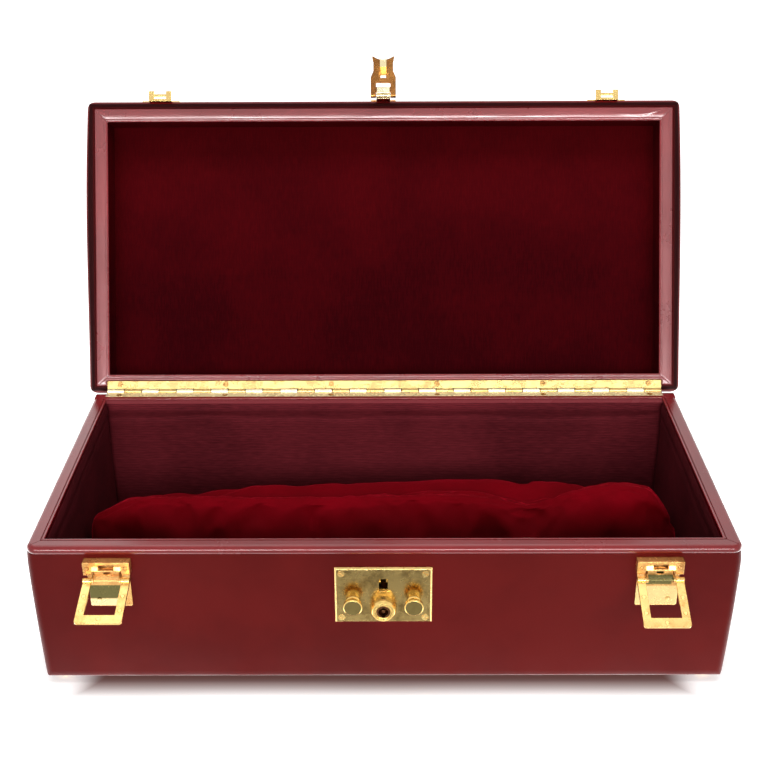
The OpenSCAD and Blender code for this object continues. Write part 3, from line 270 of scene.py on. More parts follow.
def paper_floor(half=4.0, white_from=0.03, glow_near=0.45, glow_far=1.15):
    """White paper with a soft shadow painted along the case's front, and pure white further off, as a printed
    cut-out is.
    """
    mesh = bpy.data.meshes.new("paper_floor")
    mesh.from_pydata([(-half, -half, 0), (half, -half, 0), (half, half, 0), (-half, half, 0)], [],
                     [(0, 1, 2, 3)])
    floor = placed("paper_floor", mesh)
    paper = bpy.data.materials.new("white_paper")
    paper.use_nodes = True
    tree = paper.node_tree
    tree.nodes.clear()
    place = node(tree, "ShaderNodeTexCoord").outputs["Object"]
    path = node(tree, "ShaderNodeLightPath").outputs
    way = xyz(tree, place)
    across = math_node(tree, "ABSOLUTE", way["X"])
    beyond = vector_math(tree, "SUBTRACT", vector_math(tree, "ABSOLUTE", place),
                         (case_box[1][0], -case_box[0][1], 0))
    away = vector_math(tree, "LENGTH", vector_math(tree, "MAXIMUM", beyond), result="Value")
    gone = math_node(tree, "POWER", math_node(tree, "DIVIDE", math_node(
        tree, "SUBTRACT", SHADOW_FROM, way["Y"]), SHADOW_WIDE, clamp=True), 1.9)
    lit = math_node(tree, "MAXIMUM", gone, ramp(tree, across, *SHADOW_ENDS))
    lit = math_node(tree, "MAXIMUM", lit, ramp(tree, way["Y"], *SHADOW_BACK))
    tone = blend(tree, lit, SHADOW, PAPER)
    matt = node(tree, "ShaderNodeBsdfDiffuse", in_Color=tone)
    white = node(tree, "ShaderNodeEmission", in_Color=tone, in_Strength=times(
        tree, ramp(tree, away, 0.0, white_from, glow_near, glow_far), path["Is Camera Ray"]))
    seen = node(tree, "ShaderNodeAddShader", in_0=matt.outputs[0], in_1=white.outputs[0])
    # Painted reflection: for glossy rays the paper glows, brighter to the sides and brightest close to the
    # front.
    beside = ramp(tree, across, 0.06, 0.13, 0.0, 0.5)
    ahead = ramp(tree, way["Y"], -0.24, -0.12, 0.4, 0.9)
    close = ramp(tree, way["Y"], -0.12, -0.09, 0.0, 3.0)
    glow = node(tree, "ShaderNodeEmission", in_Color=(1, 1, 1, 1), in_Strength=math_node(
        tree, "ADD", math_node(tree, "ADD", ahead, beside), close))
    pick = node(tree, "ShaderNodeMixShader", in_0=path["Is Glossy Ray"], in_1=seen.outputs[0],
                in_2=glow.outputs[0])
    node(tree, "ShaderNodeOutputMaterial", in_0=pick.outputs[0])
    mesh.materials.append(paper)


paper_floor()

# %% [markdown]
# ## Finishes
# Each finish is one material, and what several share, such as a grain or fine scratches, is a node group
# with its own inputs. Groups put out plain heights, masks and colours. The shader itself stays in the
# material, where its sheen, coat and metal values can be read.

# %% Starting a node group
def node_group(name, inputs, outputs, kind="ShaderNodeTree"):
    """An empty node group with named inputs (name, kind, value) and outputs (name, kind)."""
    tree = bpy.data.node_groups.new(name, kind)
    for title, kind, value in inputs:
        socket = tree.interface.new_socket(name=title, in_out="INPUT", socket_type=kind)
        if value is not None:
            socket.default_value = value
    for title, kind in outputs:
        tree.interface.new_socket(name=title, in_out="OUTPUT", socket_type=kind)
    return tree, node(tree, "NodeGroupInput").outputs, node(tree, "NodeGroupOutput")


FLOAT, VECTOR = "NodeSocketFloat", "NodeSocketVector"


def finish(name):
    """A material with a Principled shader: returns the material, its tree, the shader and object places."""
    material = bpy.data.materials.new(name)
    material.use_nodes = True
    tree = material.node_tree
    shader = tree.nodes["Principled BSDF"]
    place = node(tree, "ShaderNodeTexCoord").outputs["Object"]
    return material, tree, shader, place


def relief(tree, shader, height, depth_mm, strength=1.0):
    """Puts a height, 0 to 1, on a shader's normal as a relief of so many millimetres."""
    give(shader, Normal=node(tree, "ShaderNodeBump", in_Strength=strength, in_Distance=depth_mm * MM,
                             in_Height=height).outputs[0])


# %% [markdown]
# Polished calf has very fine rounded cells, a millimetre or less, over soft larger creases. Smooth
# Voronoi cells make the pebbles, and noises bend and crease them and vary the dye and the gloss.

# %% Leather grain
def make_leather_grain():
    tree, given, out = node_group(
        "leather_grain",
        [("Place", VECTOR, None), ("Cells per metre", FLOAT, 900.0), ("Creases per metre", FLOAT, 60.0)],
        [("Height", FLOAT), ("Dye", FLOAT), ("Gloss", FLOAT)])
    place, cells, creases = given["Place"], given["Cells per metre"], given["Creases per metre"]
    warp = node(tree, "ShaderNodeTexNoise", in_Vector=place, in_Scale=220.0, in_Detail=2.0)
    moved = node(tree, "ShaderNodeVectorMath", operation="MULTIPLY_ADD", in_0=warp.outputs["Color"],
                 in_1=(0.0012, 0.0012, 0.0012), in_2=place).outputs[0]
    pebble = node(tree, "ShaderNodeTexVoronoi", feature="SMOOTH_F1", in_Vector=moved, in_Scale=cells,
                  in_Smoothness=0.6)
    crease = cloudy(tree, moved, creases, 5.0, 0.6)
    dome = math_node(tree, "SUBTRACT", 1.0, pebble.outputs["Distance"])
    height = shares(tree, crease, 0.45, dome, 0.55)
    dye = cloudy(tree, place, 14.0, 4.0, 0.55)
    gloss = cloudy(tree, place, 34.0, 6.0, 0.6)
    give(out, Height=height, Dye=ramp(tree, dye, 0.3, 0.7), Gloss=ramp(tree, gloss, 0.25, 0.75))
    return tree


LEATHER_GRAIN = make_leather_grain()


def leather(name, dark, light, rough, specular, coat, depth_mm, cells=900.0, stain_and_shade=None, zones=()):
    """Dyed and polished calf: two dye tones, a range of roughness, a grain of some depth, and zones.

    A painted shade along an edge is given as a plane's normal and distance, the depth and width of the shade
    behind it, the height above which it covers the whole round, and its colour."""
    material, tree, shader, place = finish(name)
    grain = node(tree, "ShaderNodeGroup", node_tree=LEATHER_GRAIN, in_Place=place, in_Cells_per_metre=cells)
    tone = blend(tree, grain.outputs["Dye"], dark, light)
    # Painted shade: the round of an edge is darkened behind a plane, and over the whole round above a height.
    if stain_and_shade:
        normal, offset, wide, top, colour = stain_and_shade
        depth = math_node(tree, "SUBTRACT", offset, vector_math(tree, "DOT_PRODUCT", place, normal, "Value"))
        reach = ramp(tree, xyz(tree, place)["Z"], top, top + 4 * MM, wide, 4.2 * MM)
        inner = ramp(tree, math_node(tree, "DIVIDE", depth, reach), 1.0, 1.6, 1.0, 0.0)
        mask = times(tree, inner, ramp(tree, depth, 0.02 * MM, 0.3 * MM))
        tone = blend(tree, mask, tone, colour)
    give(shader, Base_Color=with_zones(tree, place, tone, zones),
         Roughness=ramp(tree, grain.outputs["Gloss"], 0.0, 1.0, *rough),
         Specular_IOR_Level=specular, Coat_Weight=coat, Coat_Roughness=0.16)
    relief(tree, shader, grain.outputs["Height"], depth_mm)
    return material


LID_OPEN = 114.5
PIN_RADIUS = 0.6 * MM
lid_turn = math.radians(180 - LID_OPEN)
LID_FACE = (0, -math.sin(lid_turn), math.cos(lid_turn))
pin_low, pin_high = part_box("hinge_pin")
hinge_line = (pin_low[1] + pin_high[1]) / 2, pin_low[2] + PIN_RADIUS
lid_offset = LID_FACE[1] * hinge_line[0] + LID_FACE[2] * hinge_line[1]
print("the lid's face leans at", round(math.degrees(lid_turn), 1), "degrees, hinge line at", hinge_line)

COVER_LEATHER = leather("cover_leather", paint(82, 10, 9), paint(96, 17, 15), (0.46, 0.56), 0.1, 0.01, 0.05)
# The lid's rounded edge takes a painted shade, darkest along its top.
LID_LEATHER = leather("lid_leather", paint(100, 11, 13), paint(114, 18, 20), (0.46, 0.56), 0.08, 0.0, 0.05,
                      stain_and_shade=(LID_FACE, lid_offset, 1.0 * MM, 0.266, paint(34, 2, 3)))
# The leather lip inside the mouth: painted shade darkens it, and a painted highlight draws a pale line along
# the roll's back, where the front light would catch it.
mouth_low, mouth_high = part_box("lining_floor")
LIP_IN = 0.4 * MM
lip_x, lip_front, lip_back = mouth_high[0] - LIP_IN, mouth_low[1] + LIP_IN, mouth_high[1] - LIP_IN
lip_foot, lip_top = (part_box("body_rim")[1][2] - down * MM for down in (6.0, 0.7))
lip_shade_and_highlight = [((-lip_x, lip_front, lip_foot), (lip_x, lip_back, lip_top), paint(60, 8, 12)),
             ((-lip_x, lip_back - 1.2 * MM, lip_foot), (lip_x, lip_back + 1 * MM, lip_top),
              paint(150, 66, 72))]
print("lip:", [round(v / MM, 2) for v in (lip_x, lip_front, lip_back, lip_foot, lip_top)], "mm")
ROLL_LEATHER = leather("roll_leather", paint(110, 14, 18), paint(126, 21, 25), (0.2, 0.28), 0.42, 0.34, 0.03,
                       1100.0, zones=lip_shade_and_highlight)
WELT_LEATHER = leather("welt_leather", paint(120, 24, 30), paint(138, 36, 42), (0.24, 0.34), 0.5, 0.4, 0.02,
                       1100.0)
LID_RIM_LEATHER = leather("lid_rim_leather", paint(108, 16, 21), paint(126, 26, 31), (0.26, 0.38), 1.0, 0.7,
                          0.03, 1100.0)

# %% [markdown]
# The body is lined with a cloth of fine level ribs, the lid with a plain close weave. Both are threads
# crossing at right angles, so one group makes both: warp and weft are sine waves along two of the
# object's axes, thickened and thinned by noise as real yarn is.

# %% Woven cloth
def make_weave():
    tree, given, out = node_group(
        "weave",
        [("Place", VECTOR, None), ("Ribs per metre", FLOAT, 900.0), ("Threads per metre", FLOAT, 1600.0),
         ("Rib share", FLOAT, 0.7)],
        [("Height", FLOAT), ("Slub", FLOAT), ("Worn", FLOAT)])
    axes = xyz(tree, given["Place"])
    wander = cloudy(tree, given["Place"], 25.0, 2.0)
    drift = times(tree, wander, 0.0025)

    def waves(axis, count):
        turned = times(tree, math_node(tree, "ADD", axis, drift), times(tree, count, 2 * math.pi))
        return math_node(tree, "MULTIPLY_ADD", math_node(tree, "SINE", turned), 0.5, 0.5)

    ribs = waves(axes["Z"], given["Ribs per metre"])
    threads = waves(axes["X"], given["Threads per metre"])
    rest = math_node(tree, "SUBTRACT", 1.0, given["Rib share"])
    height = shares(tree, ribs, given["Rib share"], threads, rest)
    stretched = node(tree, "ShaderNodeMapping", in_Vector=given["Place"], in_Scale=(170.0, 170.0, 1300.0))
    slub = cloudy(tree, stretched.outputs[0], 1.0, 2.0)
    worn = cloudy(tree, given["Place"], 18.0, 4.0)
    give(out, Height=height, Slub=ramp(tree, slub, 0.3, 0.75), Worn=ramp(tree, worn, 0.35, 0.65))
    return tree


WEAVE = make_weave()


def lining_cloth(name, dark, light, ribs, threads, rib_share, depth_mm, shine, upright=False, painted_light_ramp=None):
    """Woven lining: two tones between the threads' tops and gaps, and the same weave as a relief.

    Painted light ramp is two heights, with the share by which the cloth is painted darker at one and lighter
    at the other, as painted shade and painted light."""
    material, tree, shader, place = finish(name)
    axes = xyz(tree, place)
    if upright:
        place = node(tree, "ShaderNodeCombineXYZ", in_X=axes["Z"], in_Y=axes["Y"], in_Z=axes["X"]).outputs[0]
    weave = node(tree, "ShaderNodeGroup", node_tree=WEAVE, in_Place=place, in_Ribs_per_metre=ribs,
                 in_Threads_per_metre=threads, in_Rib_share=rib_share)
    tone = shares(tree, weave.outputs["Slub"], 0.5, weave.outputs["Height"], 0.5)
    shaded = shares(tree, weave.outputs["Worn"], 0.3, tone, 0.7)
    # Painted light and shade: darker at the low height and lighter at the high one.
    if painted_light_ramp:
        low, high, share = painted_light_ramp
        shaded = math_node(tree, "ADD", shaded, ramp(tree, axes["Z"], low, high, -share, share), clamp=True)
    give(shader, Base_Color=blend(tree, shaded, dark, light), Roughness=0.75, Specular_IOR_Level=shine)
    relief(tree, shader, weave.outputs["Height"], depth_mm, 0.8)
    return material


BODY_LINING = lining_cloth("body_lining_cloth", paint(64, 15, 21), paint(114, 36, 44), 850.0, 2600.0, 0.75,
                           0.12, 0.12)
# The side walls take a darker copy of the body's cloth: painted shade.
SHADED_SIDE_LINING = lining_cloth("side_lining_painted_shade", paint(44, 8, 12), paint(84, 22, 28), 850.0, 2600.0, 0.75,
                           0.12, 0.08)
# The lid's lining is painted darker low and lighter high: painted light.
LID_LINING = lining_cloth("lid_lining_cloth", paint(46, 2, 6), paint(76, 5, 10), 1500.0, 1250.0, 0.5, 0.08,
                          0.02, upright=True, painted_light_ramp=(0.1, 0.24, 0.3))


# %% [markdown]
# Velvet is dark where the pile is seen end on and bright where it is seen from the side. Sheen is the
# shader's own word for this. A soft noise tips the pile one way and another, as a hand would.

# %% Velvet
def velvet(name, deep, bright):
    material, tree, shader, place = finish(name)
    tipped = cloudy(tree, place, 26.0, 5.0, 0.6)
    pile = cloudy(tree, place, 1900.0, 2.0)
    tone = shares(tree, ramp(tree, tipped, 0.35, 0.7), 0.7, pile, 0.3)
    give(shader, Base_Color=blend(tree, tone, deep, bright), Roughness=0.85, Specular_IOR_Level=0.1,
         Sheen_Weight=1.0, Sheen_Roughness=0.24, Sheen_Tint=paint(225, 24, 52))
    relief(tree, shader, shares(tree, pile, 0.5, tipped, 0.5), 0.5, 0.6)
    return material


VELVET = velvet("crimson_velvet", paint(96, 0, 8), paint(116, 0, 13))


# %% [markdown]
# Brass fittings are polished, then handled for years: hairline scratches, faint stains in the polish,
# and edges rubbed round. A Bevel node rounds every sharp edge for the light without new geometry, which
# is what draws the thin bright lines round a metal plate.

# %% Brass
def make_handling():
    tree, given, out = node_group(
        "handling",
        [("Place", VECTOR, None), ("Scratches", FLOAT, 0.3), ("Stain", FLOAT, 0.4)],
        [("Height", FLOAT), ("Rough", FLOAT), ("Stained", FLOAT)])
    total = None
    for turn, count in (((0.3, 0.7, 0.2), 420.0), ((1.1, 0.2, 1.3), 520.0)):
        turned = node(tree, "ShaderNodeMapping", in_Vector=given["Place"], in_Rotation=turn,
                      in_Scale=(count, count * 0.04, count * 0.9))
        lines = cloudy(tree, turned.outputs[0], 6.0, 3.0)
        cut = ramp(tree, lines, 0.6, 0.75)
        total = cut if total is None else math_node(tree, "MAXIMUM", total, cut)
    wave = cloudy(tree, given["Place"], 140.0, 5.0, 0.65)
    spots = ramp(tree, cloudy(tree, given["Place"], 90.0, 6.0, 0.7), 0.42, 0.7)
    give(out, Height=times(tree, total, given["Scratches"]), Rough=ramp(tree, wave, 0.3, 0.75),
         Stained=times(tree, spots, given["Stain"]))
    return tree


HANDLING = make_handling()


def brass(name, clean, stain_and_shade, rough, scratches, stain, edge_mm, edge_wear_and_glint=None, zones=(), lacquer=0.0):
    """Handled brass: polish and stain colours, a range of roughness and rounded edges.

    Edge wear and glint gives the colour of every face that doesn't look straight ahead: partly edges polished
    by handling, partly a painted highlight where they would catch the light, while the flat front stays dull
    and dark. Lacquer is the share of the surface that scatters light as an old varnish does, so that it never
    goes as dark as its reflections."""
    material, tree, shader, place = finish(name)
    worn = node(tree, "ShaderNodeGroup", node_tree=HANDLING, in_Place=place, in_Scratches=scratches,
                in_Stain=stain)
    tone = blend(tree, worn.outputs["Stained"], clean, stain_and_shade)
    # Partly wear, partly painted highlight: faces that don't look straight ahead take a brighter colour.
    if edge_wear_and_glint:
        facing = xyz(tree, node(tree, "ShaderNodeTexCoord").outputs["Normal"])["Y"]
        tone = blend(tree, ramp(tree, facing, -0.97, -0.85), tone, edge_wear_and_glint)
    edge = node(tree, "ShaderNodeBevel", samples=4, in_Radius=edge_mm * MM)
    bump = node(tree, "ShaderNodeBump", in_Strength=0.5, in_Distance=0.02 * MM,
                in_Height=worn.outputs["Height"], in_Normal=edge.outputs[0])
    give(shader, Base_Color=with_zones(tree, place, tone, zones), Metallic=1.0 - lacquer,
         Roughness=ramp(tree, worn.outputs["Rough"], 0.0, 1.0, *rough), Normal=bump.outputs[0])
    return material


BRASS = brass("polished_brass", paint(248, 214, 138), paint(222, 160, 80), (0.14, 0.3), 0.5, 0.5, 0.25)
FRAME_BRASS = brass("frame_brass", paint(244, 202, 128), paint(204, 150, 82), (0.2, 0.36), 0.8, 0.8, 0.35)
DULL_BRASS = brass("dull_brass", paint(188, 160, 100), paint(118, 92, 48), (0.18, 0.34), 0.8, 0.9, 0.3,
                   edge_wear_and_glint=paint(250, 214, 140))
CAP_BRASS = brass("button_brass", paint(158, 138, 84), paint(120, 100, 52), (0.12, 0.24), 0.5, 0.4, 0.3,
                  edge_wear_and_glint=paint(252, 214, 130))
# The key's plug sits deep in its hole, and its brass is painted dark: painted shade.
SHADED_KEY_BRASS = brass("key_brass_painted_shade", paint(120, 78, 50), paint(60, 36, 24), (0.25, 0.4), 0.5, 0.9, 0.2)
PIN_BRASS = brass("hinge_pin_metal", paint(92, 70, 44), paint(50, 34, 22), (0.3, 0.45), 0.5, 0.8, 0.1)
HINGE_BRASS = brass("hinge_brass", paint(206, 176, 116), paint(180, 142, 84), (0.24, 0.38), 0.6, 0.5, 0.35)
# The body's leaf is the hinge's brass painted lighter and less metallic: a painted reflection.
LIT_BODY_LEAF_BRASS = brass("hinge_body_brass_painted_light", paint(255, 244, 206), paint(240, 206, 140), (0.2, 0.36), 0.6, 0.5,
                        0.35, lacquer=0.35)
BARREL_BRASS = brass("key_barrel_brass", paint(255, 214, 128), paint(240, 182, 92), (0.1, 0.22), 0.4, 0.4,
                     0.3, lacquer=0.1)
SCREW_BRASS = brass("hinge_screw_brass", paint(190, 148, 90), paint(140, 98, 50), (0.2, 0.36), 0.6, 0.8, 0.3)
# Painted reflections on the latch bases: cream and gold low down, where the frame shows in the plate, and a
# dark olive painted shade and reflection high up under the frame.
CREAM_REFLECTION, GOLD_REFLECTION, OLIVE_SHADE = paint(252, 238, 178), paint(250, 216, 146), paint(112, 104, 58)
(left_low, left_high), (right_low, right_high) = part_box("latch_base_left"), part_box("latch_base_right")


def on_plate(low, high, from_mm, to_mm, up_mm, down_mm, colour):
    """A zone on a latch's base: between two distances across it and two heights above its foot."""
    return ((low[0] + from_mm * MM, low[1], low[2] + up_mm * MM),
            (low[0] + to_mm * MM, high[1], low[2] + down_mm * MM), colour)


painted_plate_reflections = [on_plate(left_low, left_high, 0.6, 19.0, 0.0, 4.8, CREAM_REFLECTION),
               on_plate(left_low, left_high, 0.6, 19.0, 4.4, 13.0, OLIVE_SHADE),
               on_plate(right_low, right_high, 0.0, 23.4, 0.0, 12.0, GOLD_REFLECTION),
               on_plate(right_low, right_high, 4.4, 19.0, 12.4, 21.0, OLIVE_SHADE)]
STRAP_BRASS = brass("strap_brass", paint(244, 190, 114), paint(186, 126, 66), (0.16, 0.34), 0.7, 0.9, 0.9,
                    zones=painted_plate_reflections, lacquer=0.3)
hasp_low, hasp_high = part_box("hasp")
HASP_BRASS = brass("hasp_brass", paint(170, 116, 62), paint(128, 78, 40), (0.2, 0.36), 0.6, 0.9, 0.3,
                   zones=[((-4.2 * MM, -1, hasp_low[2]), (4.2 * MM, 1, hasp_low[2] + 8.4 * MM),
                           paint(255, 246, 206))])
LEAF_BRASS = brass("hasp_leaf_brass", paint(254, 240, 190), paint(244, 214, 150), (0.12, 0.3), 0.5, 0.4, 0.25)


# %% Board under the leather
def board_wood():
    material, tree, shader, place = finish("board_wood")
    drawn = node(tree, "ShaderNodeMapping", in_Vector=place, in_Scale=(6.0, 160.0, 160.0))
    rings = cloudy(tree, drawn.outputs[0], 1.0, 6.0, 0.6)
    wood = blend(tree, ramp(tree, rings, 0.3, 0.7), paint(150, 112, 70), paint(196, 158, 110))
    give(shader, Base_Color=wood, Roughness=0.7)
    relief(tree, shader, rings, 0.1)
    return material


BOARD = board_wood()

# %% [markdown]
# ## Dressing the case's own pieces
# Most of the solid pieces already have the right shape and only take their finish. Eight of them get a
# fuller form further down, and are dressed here too, so that no piece is ever left bare.

# %% Finishes for the solid pieces
def put_on(mesh, material):
    """Gives a mesh one material and no other."""
    mesh.materials.clear()
    mesh.materials.append(material)


def dress(material, *names):
    for name in names:
        put_on(nodes[name].data, material)
        for face in nodes[name].data.polygons:
            face.material_index = 0


dress(COVER_LEATHER, "body_cover")
dress(LID_LEATHER, "lid_cover")
dress(ROLL_LEATHER, "body_rim")
dress(LID_RIM_LEATHER, "lid_rim")
dress(BOARD, "body_carcass", "lid_carcass")
dress(BODY_LINING, "lining_floor", "lining_front", "lining_back", "lining_left", "lining_right")
dress(LID_LINING, "lid_lining_top", "lid_lining_front", "lid_lining_back", "lid_lining_left",
      "lid_lining_right")
dress(VELVET, "velvet_pad")
dress(DULL_BRASS, "lock_plate", "lock_case", "catch_left", "catch_right")
dress(SHADED_KEY_BRASS, "key_plug")
dress(CAP_BRASS, "button_left", "button_right")
dress(STRAP_BRASS, "latch_base_left", "latch_base_right", "latch_pin_left", "latch_pin_right", "latch_rivets")
dress(HASP_BRASS, "hasp", "hasp_pin")
dress(HINGE_BRASS, "hinge_leaf_lid")
dress(LIT_BODY_LEAF_BRASS, "hinge_leaf_body")
dress(SCREW_BRASS, "hinge_screws_body", "hinge_screws_lid")
dress(PIN_BRASS, "hinge_pin")
dress(FRAME_BRASS, "latch_frame_left", "latch_frame_right")
dress(LEAF_BRASS, "hasp_plate", "hasp_plate_rivets", "hasp_staple")
dress(BARREL_BRASS, "key_barrel")
dress(BRASS, "keeper_left", "keeper_right", "keeper_rivets", "feet", "lock_plate_screws", "button_collars",
      "frame_rivets_left", "frame_rivets_right")
print("dressed", len(nodes), "nodes")

# %% [markdown]
# ## The velvet pad
# A loose pad of crimson velvet lies in the middle of the case: a high front lobe with a tight ridge, and a
# lower lobe behind it. It is soft wadding in a cloth skin, so it is made in the same order as in life. A
# closed net is drawn through a row of cross-sections, cut a little small. Then the net becomes cloth and
# pressure fills it, while the ridge and the foot are held as their seams hold them. Last come the folds
# that gather at the pinch of the ridge.

# %% Heights of the two ridges
pad_low, pad_high = (np.array(corner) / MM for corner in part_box("velvet_pad"))
pad_span = (pad_high[0] - pad_low[0]) / 2
print("the solid pad spans", pad_low.round(1), pad_high.round(1), "mm")


def bump(x, centre, width, height):
    """A smooth rise of some height about a centre."""
    return height * np.exp(-((x - centre) / width) ** 2)


def drop(x, start, end, depth):
    """A smooth fall from nothing at the start to a depth at the end."""
    t = np.clip((x - start) / (end - start), 0, 1)
    return -depth * t * t * (3 - 2 * t)


def front_ridge(x):
    """Height of the front ridge along the pad: level, then a pinch, a crown, and a round end."""
    level = 66.4 + bump(x, 80, 17, -5.6) + bump(x, 132, 27, 7.6)
    return level + drop(-x, 136, 170, 13) + drop(x, 147, 168, 17)


def back_ridge(x):
    """Height of the back ridge: rising from the left with a small pinch, and falling at the right end."""
    level = 55.8 + 0.021 * np.clip(x, -150, 60) + bump(x, -111, 7, -1.8)
    return level + drop(-x, 118, 166, 9) + drop(x, 84, 166, 13)


# %% The pad's net
def section(x):
    """Closed cross-section of the pad at one place along it: control points as depth and height."""
    front, back, foot = front_ridge(x), back_ridge(x), pad_low[2]
    crest_y = -7 + 1.2 * math.sin(x / 31) + 3 * max(0, (x - 130) / 40) ** 2
    valley = min(front - 9, back - 2.2)
    rise = front - foot
    return [(crest_y - 3, foot), (crest_y - 7.5, foot + 3), (crest_y - 9.5, foot + 0.3 * rise),
            (crest_y - 9, foot + 0.62 * rise), (crest_y - 6.2, front - 6), (crest_y - 3.2, front - 1.5),
            (crest_y, front), (crest_y + 4, front - 1.7), (crest_y + 9, front - 5.5),
            (crest_y + 15, valley), (14.5, back - 0.9), (21, back), (28, back - 2.2),
            (35, foot + 0.72 * (back - foot)), (39.5, foot + 0.4 * (back - foot)), (38.5, foot + 3),
            (34, foot), (12, foot)]


def smooth_loop(points, per_span):
    """A smooth closed curve through control points, with so many steps between two of them."""
    points = np.array(points)
    before, after, second = (np.roll(points, shift, axis=0) for shift in (1, -1, -2))
    t = (np.arange(per_span) / per_span)[None, :, None]
    a, b, c, d = (p[:, None, :] for p in (before, points, after, second))
    curve = 0.5 * (2 * b + (c - a) * t + (2 * a - 5 * b + 4 * c - d) * t ** 2
                   + (3 * b - a - 3 * c + d) * t ** 3)
    return curve.reshape(-1, 2)


def closed_piece(name, points, faces):
    """An object with a closed mesh from points in metres: many-sided ends get a middle point."""
    mesh = bpy.data.meshes.new(name)
    mesh.from_pydata(points.tolist(), [], faces)
    form = bmesh.new()
    form.from_mesh(mesh)
    bmesh.ops.poke(form, faces=[face for face in form.faces if len(face.verts) > 4])
    bmesh.ops.recalc_face_normals(form, faces=form.faces)
    form.to_mesh(mesh)
    form.free()
    return placed(name, mesh)


def ring_faces(rings, count, closed=False):
    """Faces between neighbouring rings of so many points, and from the last ring to the first if closed."""
    last = rings if closed else rings - 1
    return [(i * count + k, i * count + (k + 1) % count, (i + 1) % rings * count + (k + 1) % count,
             (i + 1) % rings * count + k) for i in range(last) for k in range(count)]


def pad_net(name, stations=130, per_span=5):
    """The pad's closed net: rings of points along x, drawn in towards the ends."""
    turns = np.linspace(-1, 1, stations)
    along = 0.45 * np.sin(turns * math.pi / 2) + 0.55 * turns
    rings = []
    for u in along * 0.9995:
        ring = smooth_loop(section(u * pad_span), per_span)
        end = (1 - abs(u) ** 55) ** 0.42
        middle = np.array([13.0, pad_low[2]])
        ring = middle + (ring - middle) * np.array([0.25 + 0.75 * end, 0.35 + 0.65 * end])
        rings.append(np.column_stack([np.full(len(ring), u * pad_span), ring]))
    count = len(rings[0])
    points = np.concatenate(rings) * MM
    ends = [tuple(range(count)), tuple(reversed(range((stations - 1) * count, stations * count)))]
    return closed_piece(name, points, ring_faces(stations, count) + ends)


def points_of(mesh, what="co"):
    """The places of a mesh's points, or their normals, as rows of three numbers."""
    flat = np.empty(3 * len(mesh.vertices))
    mesh.vertices.foreach_get(what, flat)
    return flat.reshape(-1, 3)


def set_points(mesh, points):
    mesh.vertices.foreach_set("co", points.ravel())
    mesh.update()


def dress_smooth(mesh, material):
    """Puts a material on a mesh, and shades it smooth."""
    put_on(mesh, material)
    for face in mesh.polygons:
        face.use_smooth = True


pad = pad_net("velvet_cushion")
print("net:", len(pad.data.vertices), "points")


# %% The pad as cloth
def bake_modifiers(piece):
    """Turns a piece and its modifiers into one plain mesh."""
    graph = bpy.context.evaluated_depsgraph_get()
    plain = bpy.data.meshes.new_from_object(piece.evaluated_get(graph))
    plain.name = piece.name
    piece.modifiers.clear()
    piece.data = plain
    return piece


def fill_with_wadding(piece, pressure, slack, most, frames=20):
    """Cloth under pressure, held at its foot and lightly at its ridge, and no point moved too far."""
    start = points_of(piece.data)
    x, y, z = (start / MM).T
    at_foot = np.clip((pad_low[2] + 9 - z) / 5, 0, 1)
    at_ridge = 0.6 * np.clip((z - front_ridge(x) + 3) / 3, 0, 1)
    grip = np.maximum(at_foot, at_ridge)
    held = piece.vertex_groups.new(name="held")
    for i in np.nonzero(grip > 0.02)[0]:
        held.add([int(i)], float(grip[i]), "REPLACE")
    cloth = piece.modifiers.new("wadding", "CLOTH")
    stuff = cloth.settings
    stuff.quality, stuff.mass = 6, 0.3
    stuff.tension_stiffness = stuff.compression_stiffness = 12
    stuff.shear_stiffness, stuff.bending_stiffness = 4, 0.5
    stuff.use_pressure, stuff.uniform_pressure_force = True, pressure
    stuff.shrink_min = -slack
    stuff.vertex_group_mass = held.name
    stuff.effector_weights.gravity = 0
    for frame_number in range(1, frames + 1):
        scene.frame_set(frame_number)
    bake_modifiers(piece)
    scene.frame_set(1)
    moved = points_of(piece.data) - start
    length = np.linalg.norm(moved, axis=1, keepdims=True)
    moved *= np.minimum(1, most * MM / np.maximum(length, 1e-9))
    set_points(piece.data, start + moved)
    print("wadding moved the skin by up to", round(float(length.max()) / MM, 1), "mm, kept to", most)


fill_with_wadding(pad, 2.5, 0.04, 2.2)


# %% Folds
def fold_skin(piece):
    """Folds that run out from the pinch, curved ones over the right end, and slow lumps of the wadding."""
    mesh = piece.data
    points, outward = points_of(mesh), points_of(mesh, "normal")
    x, y, z = (points / MM).T
    top = np.clip((z - front_ridge(x) + 22) / 20, 0, 1)
    away_x, away_y = x - 81, np.where(y < -7, y + 7 - (front_ridge(x) - z) * 0.8, y + 7)
    reach, turn = np.hypot(away_x, away_y), np.arctan2(away_y, away_x)
    push = 1.0 * np.sin(9 * turn + 0.6 + reach / 40) * np.exp(-reach / 26) * np.minimum(1, reach / 9)
    crown = np.exp(-((x - 146) / 17) ** 2) * np.clip((y + 12) / 6, 0, 1)
    push += 0.55 * np.sin(y * 1.15 + (x - 146) ** 2 / 90) * crown
    left = np.exp(-((x + 128) / 24) ** 2) * np.clip((y + 10) / 6, 0, 1)
    push += 0.5 * np.sin(y / 2.4 - (x + 128) / 19) * left
    lumps = np.array([noise.noise(Vector(p) * 26) + 0.5 * noise.noise(Vector(p) * 61) for p in points])
    push = push * top + 1.1 * lumps
    push[z < pad_low[2] + 1] = 0
    points += outward * push[:, None] * MM
    points[:, 2] = np.maximum(points[:, 2], pad_low[2] * MM)
    points[:, 0] = np.clip(points[:, 0], -(pad_span + 2) * MM, (pad_span + 2) * MM)
    set_points(mesh, points)
    print("folds: the skin moved by", (push.min().round(2), push.max().round(2)), "mm")


fold_skin(pad)
smoother = pad.modifiers.new("even skin", "SUBSURF")
smoother.levels = smoother.render_levels = 1
bake_modifiers(pad)

